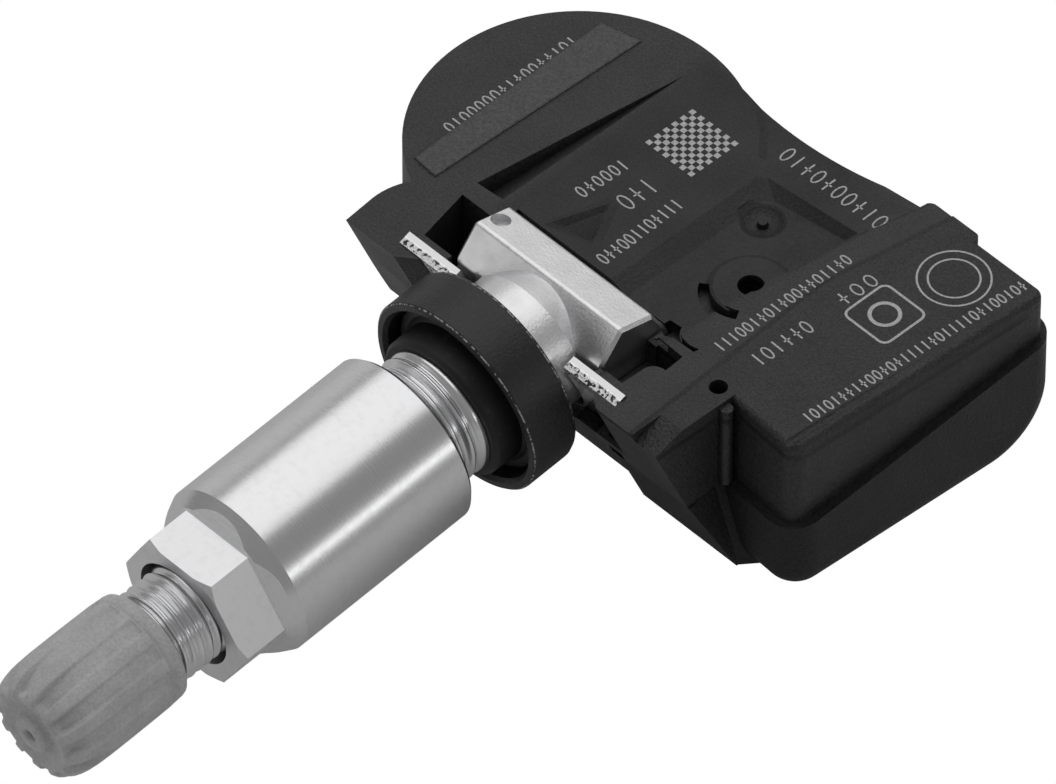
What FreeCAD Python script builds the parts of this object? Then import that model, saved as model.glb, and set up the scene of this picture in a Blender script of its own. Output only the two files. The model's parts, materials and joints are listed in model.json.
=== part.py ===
import FreeCAD, Part
import math
import os

from FreeCAD import Vector

# Tyre pressure sensor with a clamp-in metal valve, in millimetres.
# +Y runs from the valve cap to the back of the housing, +X to the deep block, +Z out of the top face.
# The origin is on the valve axis, in the plane where the sealing rubber meets the rim.

# Valve placement and swivel
VALVE_DROOP_DEG = 5.5
SWIVEL_FROM_SEAT = 10.5
SWIVEL_Z = SWIVEL_FROM_SEAT * math.sin(math.radians(VALVE_DROOP_DEG))
SWIVEL_Y = SWIVEL_FROM_SEAT * math.cos(math.radians(VALVE_DROOP_DEG))

# Fits, and how far pieces that are joined reach into each other
OVERLAP = 1.0
RUN_FIT = 0.05
SLIDE_FIT = 0.04
SEAT_GAP = 0.05
POCKET_GAP = 0.1

# Valve stem, stations measured along the valve axis from the rim seat
STEM_TIP = -39.5
CAP_THREAD_R = 3.86
RIM_THREAD_R = 5.15
RIM_THREAD_START = -16.0
RUBBER_SEAT_R = 4.1
NECK_R = 5.6
NECK_CONE_START = 7.2
NECK_CONE_END = 9.4
NECK_CONE_R = 4.7
CORE_BORE_R = 2.66
CORE_SEAT_BORE_R = 2.05
CORE_BORE_DEPTH = 10.0
CORE_WELL_DEPTH = 18.0
AIR_BORE_R = 1.1
AIR_BORE_END = 7.0

# Cross bar on the inner end of the stem
BAR_HALF_LENGTH = 7.55
BAR_R = 3.7
BAR_TOP_FRONT = (-0.95, 5.07)
BAR_TOP_BACK = (2.2, 3.95)
BAR_NOSE_TOP = (-3.25, 2.78)
BAR_NOSE_MID = (-2.95, 0.9)
BAR_NOSE_LOW = (-2.3, -1.7)
BAR_BACK_ANGLE = 36.5
BAR_LOWER_ANGLE = -107.0
BAR_EDGE = 0.45
BAR_END_EDGE = 0.25
BAR_DIMPLE_R = 0.75
BAR_DIMPLE_DEPTH = 0.9
BAR_DIMPLE_X = -6.55

# Sealing rubber and its support ring
RUBBER_NECK_R = 5.87
RUBBER_NECK_END = -1.72
RUBBER_FACE = 1.0
RING_R = 8.2
RING_FRONT = -0.2
RING_BACK_ROUND = 0.5
RING_DEPTH = 4.15
RING_WALL = 0.8
RING_FLOOR = 1.0
RING_EDGE = 0.2

# Clamping nut with its turned sleeve
NUT_SLEEVE_R = 7.0
NUT_SLEEVE_END = -5.07
NUT_SLEEVE_START = -21.6
NUT_HEX_FLATS = 11.0
NUT_HEX_END = -27.05
NUT_RAMP_START = -23.15
NUT_MOUTH_R = 4.4
NUT_EDGE = 0.3

# Valve cap
CAP_OVERHANG = 2.75
CAP_END = STEM_TIP - CAP_OVERHANG
CAP_BASE = -30.75
CAP_R = 4.62
CAP_COLLAR_R = 4.45
CAP_TIP_R = 3.5
CAP_TIP_LENGTH = 1.9
CAP_COLLAR = 1.3
CAP_FLUTES = 12
CAP_FLUTE_DEPTH = 0.17
CAP_FLUTE_R = 12.0
CAP_SCOOP_R = 0.8
CAP_SCOOP_DEPTH = 0.62
CAP_SCOOP_LENGTH = 4.2
CAP_ROOF = 1.85
CAP_SEAL_THICKNESS = 0.8
CAP_SEAL_R = 3.3

# Valve core
CORE_R = CORE_BORE_R - RUN_FIT
CORE_TOP = STEM_TIP + 0.9
CORE_LENGTH = 8.6
CORE_TAIL_R = 1.75
CORE_PIN_R = 0.55
CORE_PIN_TOP = STEM_TIP + 0.25
CORE_PIN_TAIL = 3.0
CORE_HEAD_R = 0.65
CORE_WALL = 0.7
CORE_SEAT_R = 1.6
CORE_SEAT_THICKNESS = 1.0
CORE_FOOT_THICKNESS = 0.6
SPRING_WIRE_R = 0.2
SPRING_MEAN_R = 1.2
SPRING_TURNS = 6

# Housing
FAR = 80
TOP_Z = 3.8
WING_FLOOR_Z = -6.9
FRONT_Y = 3.75
FRONT_SLANT_DEG = 22.6
WING_LEFT_X = -15.4
WING_RIGHT_X = 16.2
MOUTH_FRONT_X = 10.6
MOUTH_BACK_X = 8.9
LOBE_X = -9.64
LOBE_Y = 21.5
LOBE_R = 12.85
BACK_Y = 34.8
BLOCK_LEFT_X = 13.9
BLOCK_RIGHT_X = 23.3
BLOCK_FLARE = 1.5
BLOCK_FRONT_Y = 11.7
BLOCK_FRONT_SKEW = 0.85
BLOCK_RAISE = 0.35
BAND_RAISE = 0.2
BLOCK_STEP = [(13.9, 4.5), (13.1, 17.0), (12.9, 24.0), (13.5, 28.0), (14.75, 35.0)]
BAND_EDGE = [(8.3, 4.5), (8.3, 12.0), (9.45, 12.6), (9.45, 16.0),
             (11.1, 28.9), (11.4, 29.9), (12.1, 32.3), (12.5, 35.0)]
BLOCK_EDGE = 0.5
BLOCK_CORNER_R = 1.2
BACK_TAB_LEFT = 12.4
BACK_TAB_RIGHT = 17.6
BACK_TAB = 0.5
PAD_STRIP = [(-16.5, 11.5), (-14.1, 11.3), (-13.5, 31.5), (-16.9, 30.7)]
PAD_RAISE = 0.12
SIDE_GROOVE_IN = 0.95
SIDE_GROOVE_R = 0.45
SIDE_GROOVE_DEPTH = 0.22
LEG_LEFT_X = 9.2
FLOOR_Z = -10.8
SEAM_FRONT_Z = -3.8
SEAM_RISE_DEG = 9.0
COVER_PROUD = 0.75
COVER_WALL = 1.3
ROOF_WALL = 1.5
SIDE_WALL = 1.5
TUB_ROUND = 2.1
TUB_BACK_ROUND = 6.0
TUB_INSET = 0.9
CAVITY_CORNER_R = 1.0

LOBE_EXIT_DEG = 69.0
WAIST_Y = 33.05
WING_BEVEL_X = 14.15
WING_BEVEL_BACK = 6.6
WING_BEVEL_DROP = 1.5
LEG_FOOT_X = 18.8
RIB_R = 0.5
POCKET_BLOCK_BACK = 13.2
POCKET_FRONT_Y = 6.8
POCKET_BACK_Y = 11.55
SOCKET_WALL_Y = 15.9
SOCKET_LIP_Y = 13.45
MOUTH_FLOOR_Z = -2.8
COVER_CORNER_R = 2.5
CELL_ROOM = 3.7
PANEL_LEFT = 1.9
PANEL_RIGHT = 11.1
PANEL_SKEW = 1.65
PANEL_SLOPE = 1.7
CREASE_R = 13.0
WAIST_DROP = 0.2
PANEL_BACK = 28.6
PANEL_DEPTH = 0.6
PORT_PAD_R = 3.0
GATE_X = 5.0
GATE_Y = 25.7
GATE_R = 1.75
GATE_DEPTH = 0.45
NOTCH_WIDTH = 0.55
NOTCH_DEPTH = 1.35
BLIND_X = 15.06
BLIND_Y = 11.4
BLIND_R = 0.7
BLIND_DEPTH = 1.7
LONG_GROOVE = [(-11.6, 13.1), (-9.1, 13.3), (-8.9, 31.5), (-11.3, 13.5)]
SHORT_GROOVE = [(-5.4, 13.6), (-1.6, 15.0), (-3.5, 18.7), (-1.9, 15.0)]

# Retaining plate
PLATE_FRONT_Y = 4.95
PLATE_TOP_Z = 3.88
PLATE_THICKNESS = 1.08
PLATE_HALF_WIDTH = 11.15
PLATE_SLOT_HALF = 5.85
PLATE_LEG = 6.2
PLATE_SLOT_DEPTH = 4.1
PLATE_BOTTOM_R = 7.1
SWIVEL_DOWN_DEG = 8.0

# Electronics
BOARD_THICKNESS = 1.0
BOARD_Z = -0.6
BOARD_GAP = 0.35
CELL_GAP = 0.45
CELL_R = LOBE_R - SIDE_WALL - TUB_INSET - CELL_GAP
CELL_HEIGHT = 3.2
CELL_EDGE = 0.5
TAB_THICKNESS = 0.15
TAB_WIDTH = 3.0
POST_R = 0.9
TAB_OUT = 0.9
POST_GAP = 1.2
POST_LEFT_X = LOBE_X + CELL_R + TAB_OUT + POST_GAP + POST_R
BOARD_POSTS = [(POST_LEFT_X, 17.4), (POST_LEFT_X, 30.4), (12.4, 31.0), (20.8, 17.0), (20.8, 30.6)]
PORT_X = 9.2
PORT_Y = 20.4
PORT_R = 1.0
CHIP_SIZE = 6.0
CHIP_HEIGHT = 1.7
COIL_LENGTH = 9.0
COIL_SIZE = 2.6
COIL_ROD = 1.2
COIL_FLANGE = 0.9
WINDING_SIZE = 2.2
COIL_X = BLOCK_RIGHT_X - SIDE_WALL - 0.8 - COIL_LENGTH
COIL_Y = 26.0
ANTENNA_THICKNESS = 0.5
ANTENNA_RISE = 2.2
ANTENNA_FOOT = 1.2
ANTENNA_IN = 2.3
CAPACITORS = 6
CAPACITOR_LENGTH = 1.6
CAPACITOR_HEIGHT = 0.7
CAPACITOR_PITCH = 2.2
CAPACITOR_X = -7.0
CAPACITOR_Y = 28.4
TRANSMITTER_AT = (-2.0, 23.5)
TRANSMITTER_SIZE = (5.0, 5.0, 0.9)
CRYSTAL_AT = (3.0, 23.0)
CRYSTAL_SIZE = (3.2, 2.5, 0.8)
SEAL_WALL = 1.2


def outline(points):
    """Closed face in the XY plane; a point written as ('arc', via, end) is an arc."""
    edges = []
    first = Vector(points[0][0], points[0][1], 0)
    here = first
    for item in points[1:]:
        if item[0] == "arc":
            via = Vector(item[1][0], item[1][1], 0)
            end = Vector(item[2][0], item[2][1], 0)
            edges.append(Part.Arc(here, via, end).toShape())
        else:
            end = Vector(item[0], item[1], 0)
            edges.append(Part.LineSegment(here, end).toShape())
        here = end
    if here.distanceToPoint(first) > 1e-6:
        edges.append(Part.LineSegment(here, first).toShape())
    return Part.Face(Part.Wire(edges))


def prism_up(face, low, high):
    """Face in XY drawn up between two heights."""
    lifted = face.copy()
    lifted.translate(Vector(0, 0, low))
    return lifted.extrude(Vector(0, 0, high - low))


def prism_across(points, left, right):
    """Outline given as (y, z), drawn along X."""
    face = outline(points)
    solid = face.extrude(Vector(0, 0, right - left))
    turn = FreeCAD.Matrix(0, 0, 1, left, 1, 0, 0, 0, 0, 1, 0, 0, 0, 0, 0, 1)
    return solid.transformGeometry(turn)


def turned(profile):
    """Profile of (station, radius) pairs turned about the Y axis."""
    points = [Vector(radius, station, 0) for station, radius in profile]
    points.append(points[0])
    face = Part.Face(Part.makePolygon(points))
    return face.revolve(Vector(0, 0, 0), Vector(0, 1, 0), 360)


def on_axis(shape):
    """Tip a piece that was drawn along Y onto the drooping valve axis."""
    tipped = shape.copy()
    tipped.rotate(Vector(0, 0, 0), Vector(1, 0, 0), VALVE_DROOP_DEG)
    return tipped


def soft_outline(corners):
    """Closed face in the XY plane; each corner is (x, y, radius), and a radius of 0 keeps it sharp."""
    points = []
    for at, (x, y, radius) in enumerate(corners):
        corner = Vector(x, y, 0)
        if radius == 0:
            points.append((x, y))
            continue
        before = corners[at - 1]
        after = corners[(at + 1) % len(corners)]
        back = (Vector(before[0], before[1], 0) - corner).normalize()
        ahead = (Vector(after[0], after[1], 0) - corner).normalize()
        half = back.getAngle(ahead) / 2
        centre = corner + (back + ahead).normalize() * (radius / math.sin(half))
        middle = centre + (corner - centre).normalize() * radius
        start = corner + back * (radius / math.tan(half))
        end = corner + ahead * (radius / math.tan(half))
        points.append((start.x, start.y))
        points.append(("arc", (middle.x, middle.y), (end.x, end.y)))
    return outline(points)


def rounded_box(x0, x1, y0, y1, z0, z1, radius):
    """Upright block whose four vertical edges are rounded."""
    r = radius
    k = r * (1 - math.sqrt(0.5))
    face = outline([
        (x0 + r, y0), (x1 - r, y0), ("arc", (x1 - k, y0 + k), (x1, y0 + r)),
        (x1, y1 - r), ("arc", (x1 - k, y1 - k), (x1 - r, y1)),
        (x0 + r, y1), ("arc", (x0 + k, y1 - k), (x0, y1 - r)),
        (x0, y0 + r), ("arc", (x0 + k, y0 + k), (x0 + r, y0)),
    ])
    return prism_up(face, z0, z1)


def export(name, shape):
    """Write one piece, and say what it holds."""
    clean = shape.removeSplitter()
    if len(clean.Solids) == 1:
        clean = clean.Solids[0]
    clean.exportStep("parts/" + name + ".step")
    print(name, len(clean.Solids), "solids", round(clean.Volume, 2), "mm3", clean.isValid())
    return clean


def bar_section():
    """Side view of the cross bar about the swivel axis: a round back with a flat, raised top."""
    back = math.radians(BAR_BACK_ANGLE)
    low = math.radians(BAR_LOWER_ANGLE)
    mid = (back + low) / 2

    def rim(angle):
        return (BAR_R * math.cos(angle), BAR_R * math.sin(angle))

    return [BAR_TOP_FRONT, BAR_TOP_BACK, rim(back), ("arc", rim(mid), rim(low)),
            BAR_NOSE_LOW, BAR_NOSE_MID, BAR_NOSE_TOP, BAR_TOP_FRONT]


def cross_bar():
    """The bar that swivels in the housing, with softened long edges and end rims."""
    points = []
    for item in bar_section():
        if item[0] == "arc":
            points.append(("arc",) + tuple((p[0] + SWIVEL_FROM_SEAT, p[1]) for p in item[1:]))
        else:
            points.append((item[0] + SWIVEL_FROM_SEAT, item[1]))
    bar = prism_across(points, -BAR_HALF_LENGTH, BAR_HALF_LENGTH)
    long_edges = [e for e in bar.Edges if abs(e.BoundBox.XLength - 2 * BAR_HALF_LENGTH) < 0.01]
    bar = bar.makeFillet(BAR_EDGE, long_edges)
    ends = [e for e in bar.Edges if abs(abs(e.BoundBox.Center.x) - BAR_HALF_LENGTH) < 0.01]
    return bar.makeChamfer(BAR_END_EDGE, ends)


def valve_stem():
    """Cast and turned stem: cap thread, rim thread, rubber seat, neck and cross bar in one piece."""
    body = turned([
        (STEM_TIP, 0), (STEM_TIP, CAP_THREAD_R - 0.6), (STEM_TIP + 0.6, CAP_THREAD_R),
        (RIM_THREAD_START - 1.2, CAP_THREAD_R), (RIM_THREAD_START, RIM_THREAD_R),
        (RUBBER_NECK_END - SEAT_GAP, RIM_THREAD_R), (RUBBER_NECK_END - SEAT_GAP, RUBBER_SEAT_R),
        (RING_DEPTH, RUBBER_SEAT_R), (RING_DEPTH, NECK_R), (NECK_CONE_START, NECK_R),
        (NECK_CONE_END, NECK_CONE_R), (NECK_CONE_END, 0),
    ])
    bore = turned([
        (STEM_TIP - 1, 0), (STEM_TIP - 1, CORE_BORE_R), (STEM_TIP + CORE_BORE_DEPTH, CORE_BORE_R),
        (STEM_TIP + CORE_BORE_DEPTH + 0.6, CORE_SEAT_BORE_R), (STEM_TIP + CORE_WELL_DEPTH, CORE_SEAT_BORE_R),
        (STEM_TIP + CORE_WELL_DEPTH, AIR_BORE_R), (AIR_BORE_END, AIR_BORE_R), (AIR_BORE_END, 0),
    ])
    outlet = Part.makeCylinder(AIR_BORE_R * 0.8, 8, Vector(0, AIR_BORE_END - AIR_BORE_R, -8), Vector(0, 0, 1))
    top = (BAR_TOP_FRONT[1] + BAR_TOP_BACK[1]) / 2
    middle = SWIVEL_FROM_SEAT + (BAR_TOP_FRONT[0] + BAR_TOP_BACK[0]) / 2
    dimple = Part.makeCylinder(BAR_DIMPLE_R, 3, Vector(BAR_DIMPLE_X, middle, top - BAR_DIMPLE_DEPTH))
    stem = body.fuse(cross_bar())
    stem = stem.cut(bore).cut(outlet).cut(dimple)
    return on_axis(stem)


def support_ring():
    """Pressed steel cup that carries the sealing rubber, open towards the rim."""
    r = RING_R
    cup = turned([
        (RING_DEPTH, RUBBER_SEAT_R + SEAT_GAP), (RING_DEPTH, r - RING_BACK_ROUND),
        (RING_DEPTH - 0.3 * RING_BACK_ROUND, r - 0.3 * RING_BACK_ROUND), (RING_DEPTH - RING_BACK_ROUND, r),
        (RING_FRONT + RING_EDGE, r), (RING_FRONT, r - RING_EDGE), (RING_FRONT, r - RING_WALL + 0.15),
        (RING_FRONT + 0.35, r - RING_WALL - 0.1), (RING_DEPTH - RING_FLOOR, r - RING_WALL - 0.1),
        (RING_DEPTH - RING_FLOOR, RUBBER_SEAT_R + SEAT_GAP),
    ])
    return on_axis(cup)


def rubber_grommet():
    """Sealing rubber: a neck that fills the rim hole and a flange seated in the cup."""
    flange = RING_R - RING_WALL - 0.1 - SEAT_GAP
    back = RING_DEPTH - RING_FLOOR - SEAT_GAP
    seal = turned([
        (RUBBER_NECK_END, RUBBER_SEAT_R + SEAT_GAP), (RUBBER_NECK_END, RUBBER_NECK_R - 0.25),
        (RUBBER_NECK_END + 0.3, RUBBER_NECK_R), (RUBBER_FACE - 0.3, RUBBER_NECK_R + 0.1),
        (RUBBER_FACE, RUBBER_NECK_R + 0.45), (RUBBER_FACE + 0.1, flange - 0.3), (RUBBER_FACE + 0.4, flange),
        (back, flange), (back, RUBBER_SEAT_R + SEAT_GAP),
    ])
    return on_axis(seal)


def hexagon(flats, low, high):
    """Hexagonal bar along Y with one flat facing up."""
    corner = flats / math.sqrt(3)
    points = []
    for step in range(7):
        turn = math.radians(60 * step)
        points.append(Vector(corner * math.cos(turn), low, corner * math.sin(turn)))
    return Part.Face(Part.makePolygon(points)).extrude(Vector(0, high - low, 0))


def valve_nut():
    """Clamping nut: a hexagonal head that runs out by sloping facets into a round sleeve."""
    corner_r = NUT_HEX_FLATS / math.sqrt(3)
    outer = turned([
        (NUT_HEX_END, 0), (NUT_HEX_END, corner_r - 0.6), (NUT_HEX_END + 0.35, corner_r),
        (NUT_RAMP_START + 0.2, corner_r), (NUT_SLEEVE_START, NUT_SLEEVE_R),
        (NUT_SLEEVE_END - NUT_EDGE, NUT_SLEEVE_R), (NUT_SLEEVE_END, NUT_SLEEVE_R - NUT_EDGE),
        (NUT_SLEEVE_END, 0),
    ])
    head = hexagon(NUT_HEX_FLATS, NUT_HEX_END - 1, NUT_RAMP_START)
    ramp_rise = NUT_SLEEVE_START - NUT_RAMP_START
    low_corner = NUT_HEX_FLATS / math.sqrt(3)
    high_corner = (NUT_HEX_FLATS + 2 * ramp_rise * math.tan(math.radians(53))) / math.sqrt(3)
    wires = []
    for station, corner in ((NUT_RAMP_START, low_corner), (NUT_SLEEVE_START, high_corner)):
        ring = []
        for step in range(7):
            turn = math.radians(60 * step)
            ring.append(Vector(corner * math.cos(turn), station, corner * math.sin(turn)))
        wires.append(Part.makePolygon(ring))
    ramp = Part.makeLoft(wires, True, True)
    sleeve = Part.makeCylinder(NUT_SLEEVE_R + 1, NUT_SLEEVE_END - NUT_SLEEVE_START + 1,
                               Vector(0, NUT_SLEEVE_START, 0), Vector(0, 1, 0))
    nut = outer.common(head.fuse(ramp).fuse(sleeve))
    bore = turned([
        (NUT_HEX_END - 1, 0), (NUT_HEX_END - 1, NUT_MOUTH_R), (RIM_THREAD_START - 1.9, NUT_MOUTH_R),
        (RIM_THREAD_START - 0.9, RIM_THREAD_R + RUN_FIT), (NUT_SLEEVE_END + 1, RIM_THREAD_R + RUN_FIT),
        (NUT_SLEEVE_END + 1, 0),
    ])
    return on_axis(nut.cut(bore))


def cap_inner_end():
    """Station of the underside of the cap's roof."""
    return CAP_END + CAP_ROOF


def valve_cap():
    """Moulded cap: smooth collar, flat facets that end in scoops, and a dished end."""
    tip = CAP_END
    body = turned([
        (tip + 0.55, 0), (tip + 0.5, 0.5), (tip + 0.25, 0.65), (tip + 0.25, 1.2), (tip + 0.6, 1.4),
        (tip + 0.65, 2.1), (tip + 0.1, 2.5), (tip, 2.7), (tip, CAP_TIP_R - 0.2),
        (tip + 0.3, CAP_TIP_R + 0.35),
        (tip + 1.0, CAP_R - 0.25), (tip + CAP_TIP_LENGTH, CAP_R), (CAP_BASE - CAP_COLLAR - 0.1, CAP_R),
        (CAP_BASE - CAP_COLLAR, CAP_COLLAR_R), (CAP_BASE - 0.25, CAP_COLLAR_R),
        (CAP_BASE, CAP_COLLAR_R - 0.25), (CAP_BASE, 0),
    ])
    flute_top = CAP_BASE - CAP_COLLAR
    offset = CAP_R + CAP_FLUTE_R - CAP_FLUTE_DEPTH
    for number in range(CAP_FLUTES):
        turn = math.radians(360 / CAP_FLUTES * (number + 0.5))
        foot = Vector(offset * math.cos(turn), tip - 1, offset * math.sin(turn))
        groove = Part.makeCylinder(CAP_FLUTE_R, flute_top - tip + 1, foot, Vector(0, 1, 0))
        lift = CAP_SCOOP_DEPTH / CAP_SCOOP_LENGTH
        low = CAP_R + CAP_SCOOP_R - CAP_SCOOP_DEPTH
        start = Vector(low * math.cos(turn), tip, low * math.sin(turn))
        rise = Vector(lift * math.cos(turn), 1, lift * math.sin(turn))
        scoop = Part.makeCylinder(CAP_SCOOP_R, CAP_SCOOP_LENGTH + 4, start - rise * 2, rise)
        body = body.cut(groove).cut(scoop)
    bore = turned([
        (cap_inner_end(), 0), (cap_inner_end(), CAP_SEAL_R + SEAT_GAP + 0.1),
        (cap_inner_end() + CAP_SEAL_THICKNESS, CAP_SEAL_R + SEAT_GAP + 0.1),
        (cap_inner_end() + CAP_SEAL_THICKNESS, CAP_THREAD_R + RUN_FIT),
        (CAP_BASE - 0.4, CAP_THREAD_R + RUN_FIT), (CAP_BASE + 1, CAP_THREAD_R + RUN_FIT + 0.5),
        (CAP_BASE + 1, 0),
    ])
    return on_axis(body.cut(bore))


def cap_seal():
    """Rubber disc under the cap's roof, against the end of the stem."""
    start = cap_inner_end() + SEAT_GAP
    return on_axis(turned([
        (start, 0), (start, CAP_SEAL_R), (start + CAP_SEAL_THICKNESS - 2 * SEAT_GAP, CAP_SEAL_R),
        (start + CAP_SEAL_THICKNESS - 2 * SEAT_GAP, 0),
    ]))


def core_body():
    """Threaded barrel of the valve core, open round the plunger and at its foot."""
    end = CORE_TOP + CORE_LENGTH
    inner = CORE_TAIL_R - CORE_WALL
    barrel = turned([
        (CORE_TOP, CORE_HEAD_R + RUN_FIT), (CORE_TOP, 1.3), (CORE_TOP + 1.4, 1.3), (CORE_TOP + 1.4, CORE_R),
        (CORE_TOP + 5.0, CORE_R), (CORE_TOP + 5.4, CORE_TAIL_R), (end, CORE_TAIL_R), (end, inner),
        (CORE_TOP + 3.2, inner), (CORE_TOP + 2.6, CORE_HEAD_R + RUN_FIT),
    ])
    return on_axis(barrel)


def core_gasket():
    """Soft sealing ring round the barrel, where the bore narrows."""
    start = CORE_TOP + 5.9
    inner = CORE_TAIL_R + SLIDE_FIT
    return on_axis(turned([
        (start, inner), (start, CORE_BORE_R - 0.2), (start + 1.8, CORE_BORE_R - 0.2), (start + 1.8, inner),
    ]))


def seat_start():
    """Station of the soft seat's sealing face, at the foot of the barrel."""
    return CORE_TOP + CORE_LENGTH + SEAT_GAP


def core_seat():
    """Rubber washer on the plunger, closing the foot of the barrel."""
    low = seat_start()
    high = low + CORE_SEAT_THICKNESS
    inner = CORE_PIN_R + SLIDE_FIT
    return on_axis(turned([(low, inner), (low, CORE_SEAT_R), (high, CORE_SEAT_R), (high, inner)]))


def core_pin():
    """Plunger: a head to press, a rod, a foot that carries the seat and a tail inside the spring."""
    foot = seat_start() + CORE_SEAT_THICKNESS + SEAT_GAP
    sole = foot + CORE_FOOT_THICKNESS
    tail = sole + CORE_PIN_TAIL
    return on_axis(turned([
        (CORE_PIN_TOP, 0), (CORE_PIN_TOP, CORE_HEAD_R), (CORE_PIN_TOP + 0.35, CORE_HEAD_R),
        (CORE_PIN_TOP + 0.5, CORE_PIN_R),
        (foot, CORE_PIN_R), (foot, CORE_SEAT_R), (sole, CORE_SEAT_R), (sole, CORE_PIN_R),
        (tail, CORE_PIN_R), (tail, 0),
    ]))


def core_spring():
    """Return spring between the plunger's foot and the shoulder at the bottom of the well."""
    start = seat_start() + CORE_SEAT_THICKNESS + CORE_FOOT_THICKNESS + 2 * SEAT_GAP
    end = STEM_TIP + CORE_WELL_DEPTH - SEAT_GAP
    rise = end - start - 2 * SPRING_WIRE_R
    mean = SPRING_MEAN_R
    helix = Part.makeHelix(rise / SPRING_TURNS, rise, mean)
    ring = Part.Wire([Part.makeCircle(SPRING_WIRE_R, Vector(mean, 0, 0), Vector(0, 1, 0))])
    coil = Part.Wire(helix.Edges).makePipeShell([ring], True, True)
    coil.rotate(Vector(0, 0, 0), Vector(1, 0, 0), -90)
    coil.translate(Vector(0, start + SPRING_WIRE_R, 0))
    return on_axis(coil)


def seam_z(y):
    """Height of the weld seam between the two mouldings, which climbs towards the back."""
    return SEAM_FRONT_Z + (y - BLOCK_FRONT_Y) * math.tan(math.radians(SEAM_RISE_DEG))


def below_seam():
    """Everything under the seam behind the pocket and under the right wing."""
    low = FLOOR_Z - 5
    far = BACK_Y + 10
    near = FRONT_Y - 5
    wedge = prism_across([(near, low), (far, low), (far, seam_z(far)), (near, seam_z(near))], -40, 40)
    behind = Part.makeBox(80, 60, 60, Vector(-40, POCKET_BLOCK_BACK, -40))
    right = Part.makeBox(60, 80, 60, Vector(LEG_LEFT_X, -20, -40))
    return wedge.common(behind.fuse(right))


def front_cut():
    """The space in front of the slanting front face."""
    slope = math.tan(math.radians(FRONT_SLANT_DEG))
    low = FLOOR_Z - 5
    high = TOP_Z + 5
    def face_y(z):
        return FRONT_Y + (TOP_Z - z) * slope
    corners = [(-FAR, low), (face_y(low), low), (face_y(TOP_Z), TOP_Z), (FRONT_Y, high), (-FAR, high)]
    return prism_across(corners, -FAR, FAR)


def body_plan():
    """Plan of the lobe, the waist and the deep block in one face."""
    lobe_exit = math.radians(LOBE_EXIT_DEG)
    exit_x = LOBE_X + LOBE_R * math.cos(lobe_exit)
    exit_y = LOBE_Y + LOBE_R * math.sin(lobe_exit)
    body = outline([
        (LOBE_X, POCKET_BLOCK_BACK - 2), (BLOCK_LEFT_X, POCKET_BLOCK_BACK - 2), (BLOCK_LEFT_X, BACK_Y),
        (9.0, WAIST_Y + 1.15), ("arc", (1.2, WAIST_Y), (exit_x, exit_y)), (LOBE_X, LOBE_Y),
    ])
    lobe = Part.Face(Part.Wire([Part.makeCircle(LOBE_R, Vector(LOBE_X, LOBE_Y, 0))]))
    return prism_up(body, -20, 20).fuse(prism_up(lobe, -20, 20))


def block_prism(left, grow, radius, back_radius, low, high):
    """Upright prism of the deep block on the right, whose front and right side run slightly askew."""
    front = BLOCK_FRONT_Y - grow
    right = BLOCK_RIGHT_X + grow
    back = BACK_Y + grow
    face = soft_outline([(left, front, 0), (right, front - BLOCK_FRONT_SKEW, radius),
                         (right + BLOCK_FLARE, back, back_radius), (left, back, 0)])
    return prism_up(face, low, high)


def wing_prism():
    """The two wings and the pocket block between them, down to the wing floor."""
    plan = outline([
        (WING_LEFT_X, FRONT_Y - 1), (WING_RIGHT_X, FRONT_Y - 1), (WING_RIGHT_X + 0.25, POCKET_BLOCK_BACK),
        (-12.0, POCKET_BLOCK_BACK), (-14.2, 10.9), ("arc", (-15.4, 9.0), (WING_LEFT_X - 0.35, 6.6)),
    ])
    return prism_up(plan, WING_FLOOR_Z, TOP_Z + BLOCK_RAISE)


def wing_bevel():
    """The slope at the front of the right wing's top, down to the slanting front face."""
    top = TOP_Z + BLOCK_RAISE
    run = 4.0
    points = [(WING_BEVEL_BACK, top), (WING_BEVEL_BACK - run, top - WING_BEVEL_DROP),
              (WING_BEVEL_BACK - run, top + 2), (WING_BEVEL_BACK, top + 2)]
    return prism_across(points, WING_BEVEL_X, WING_RIGHT_X + 5)


def left_of(line, low):
    """Everything above the given height and to the left of a line that runs from front to back."""
    plan = outline([(-FAR, -FAR), (line[0][0], -FAR)] + line + [(line[-1][0], FAR), (-FAR, FAR)])
    return prism_up(plan, low, low + 5)


def low_decks():
    """The space over the two lower levels of the top: the deck and the band beside the block."""
    return left_of(BLOCK_STEP, TOP_Z + BAND_RAISE).fuse(left_of(BAND_EDGE, TOP_Z))


def cavity():
    """Inner space for the electronics, shared by both mouldings."""
    top = TOP_Z - ROOF_WALL
    floor = FLOOR_Z + COVER_WALL
    wall = SIDE_WALL
    lobe_low = Part.makeCylinder(LOBE_R - wall - TUB_INSET, CELL_ROOM, Vector(LOBE_X, LOBE_Y, floor))
    lobe_full = Part.makeCylinder(LOBE_R - wall - TUB_INSET, top - floor, Vector(LOBE_X, LOBE_Y, floor))
    middle = Part.makeBox(BLOCK_LEFT_X - LOBE_X, WAIST_Y - wall - SOCKET_WALL_Y, top - floor,
                          Vector(LOBE_X, SOCKET_WALL_Y, floor))
    back_part = Part.makeBox(80, 60, 60, Vector(-40, SOCKET_WALL_Y, -40))
    left = LEG_LEFT_X + wall + 0.5
    front = BLOCK_FRONT_Y + wall
    step = floor + TUB_ROUND
    inset = TUB_ROUND / 2
    block = rounded_box(left, BLOCK_RIGHT_X - wall, front, BACK_Y - wall, step, top, CAVITY_CORNER_R)
    block_low = rounded_box(left, BLOCK_RIGHT_X - wall - inset, front + inset, BACK_Y - wall - TUB_BACK_ROUND / 2,
                            floor, step, CAVITY_CORNER_R)
    return lobe_full.fuse(middle).common(back_part).fuse(block).fuse(block_low).fuse(lobe_low)


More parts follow.
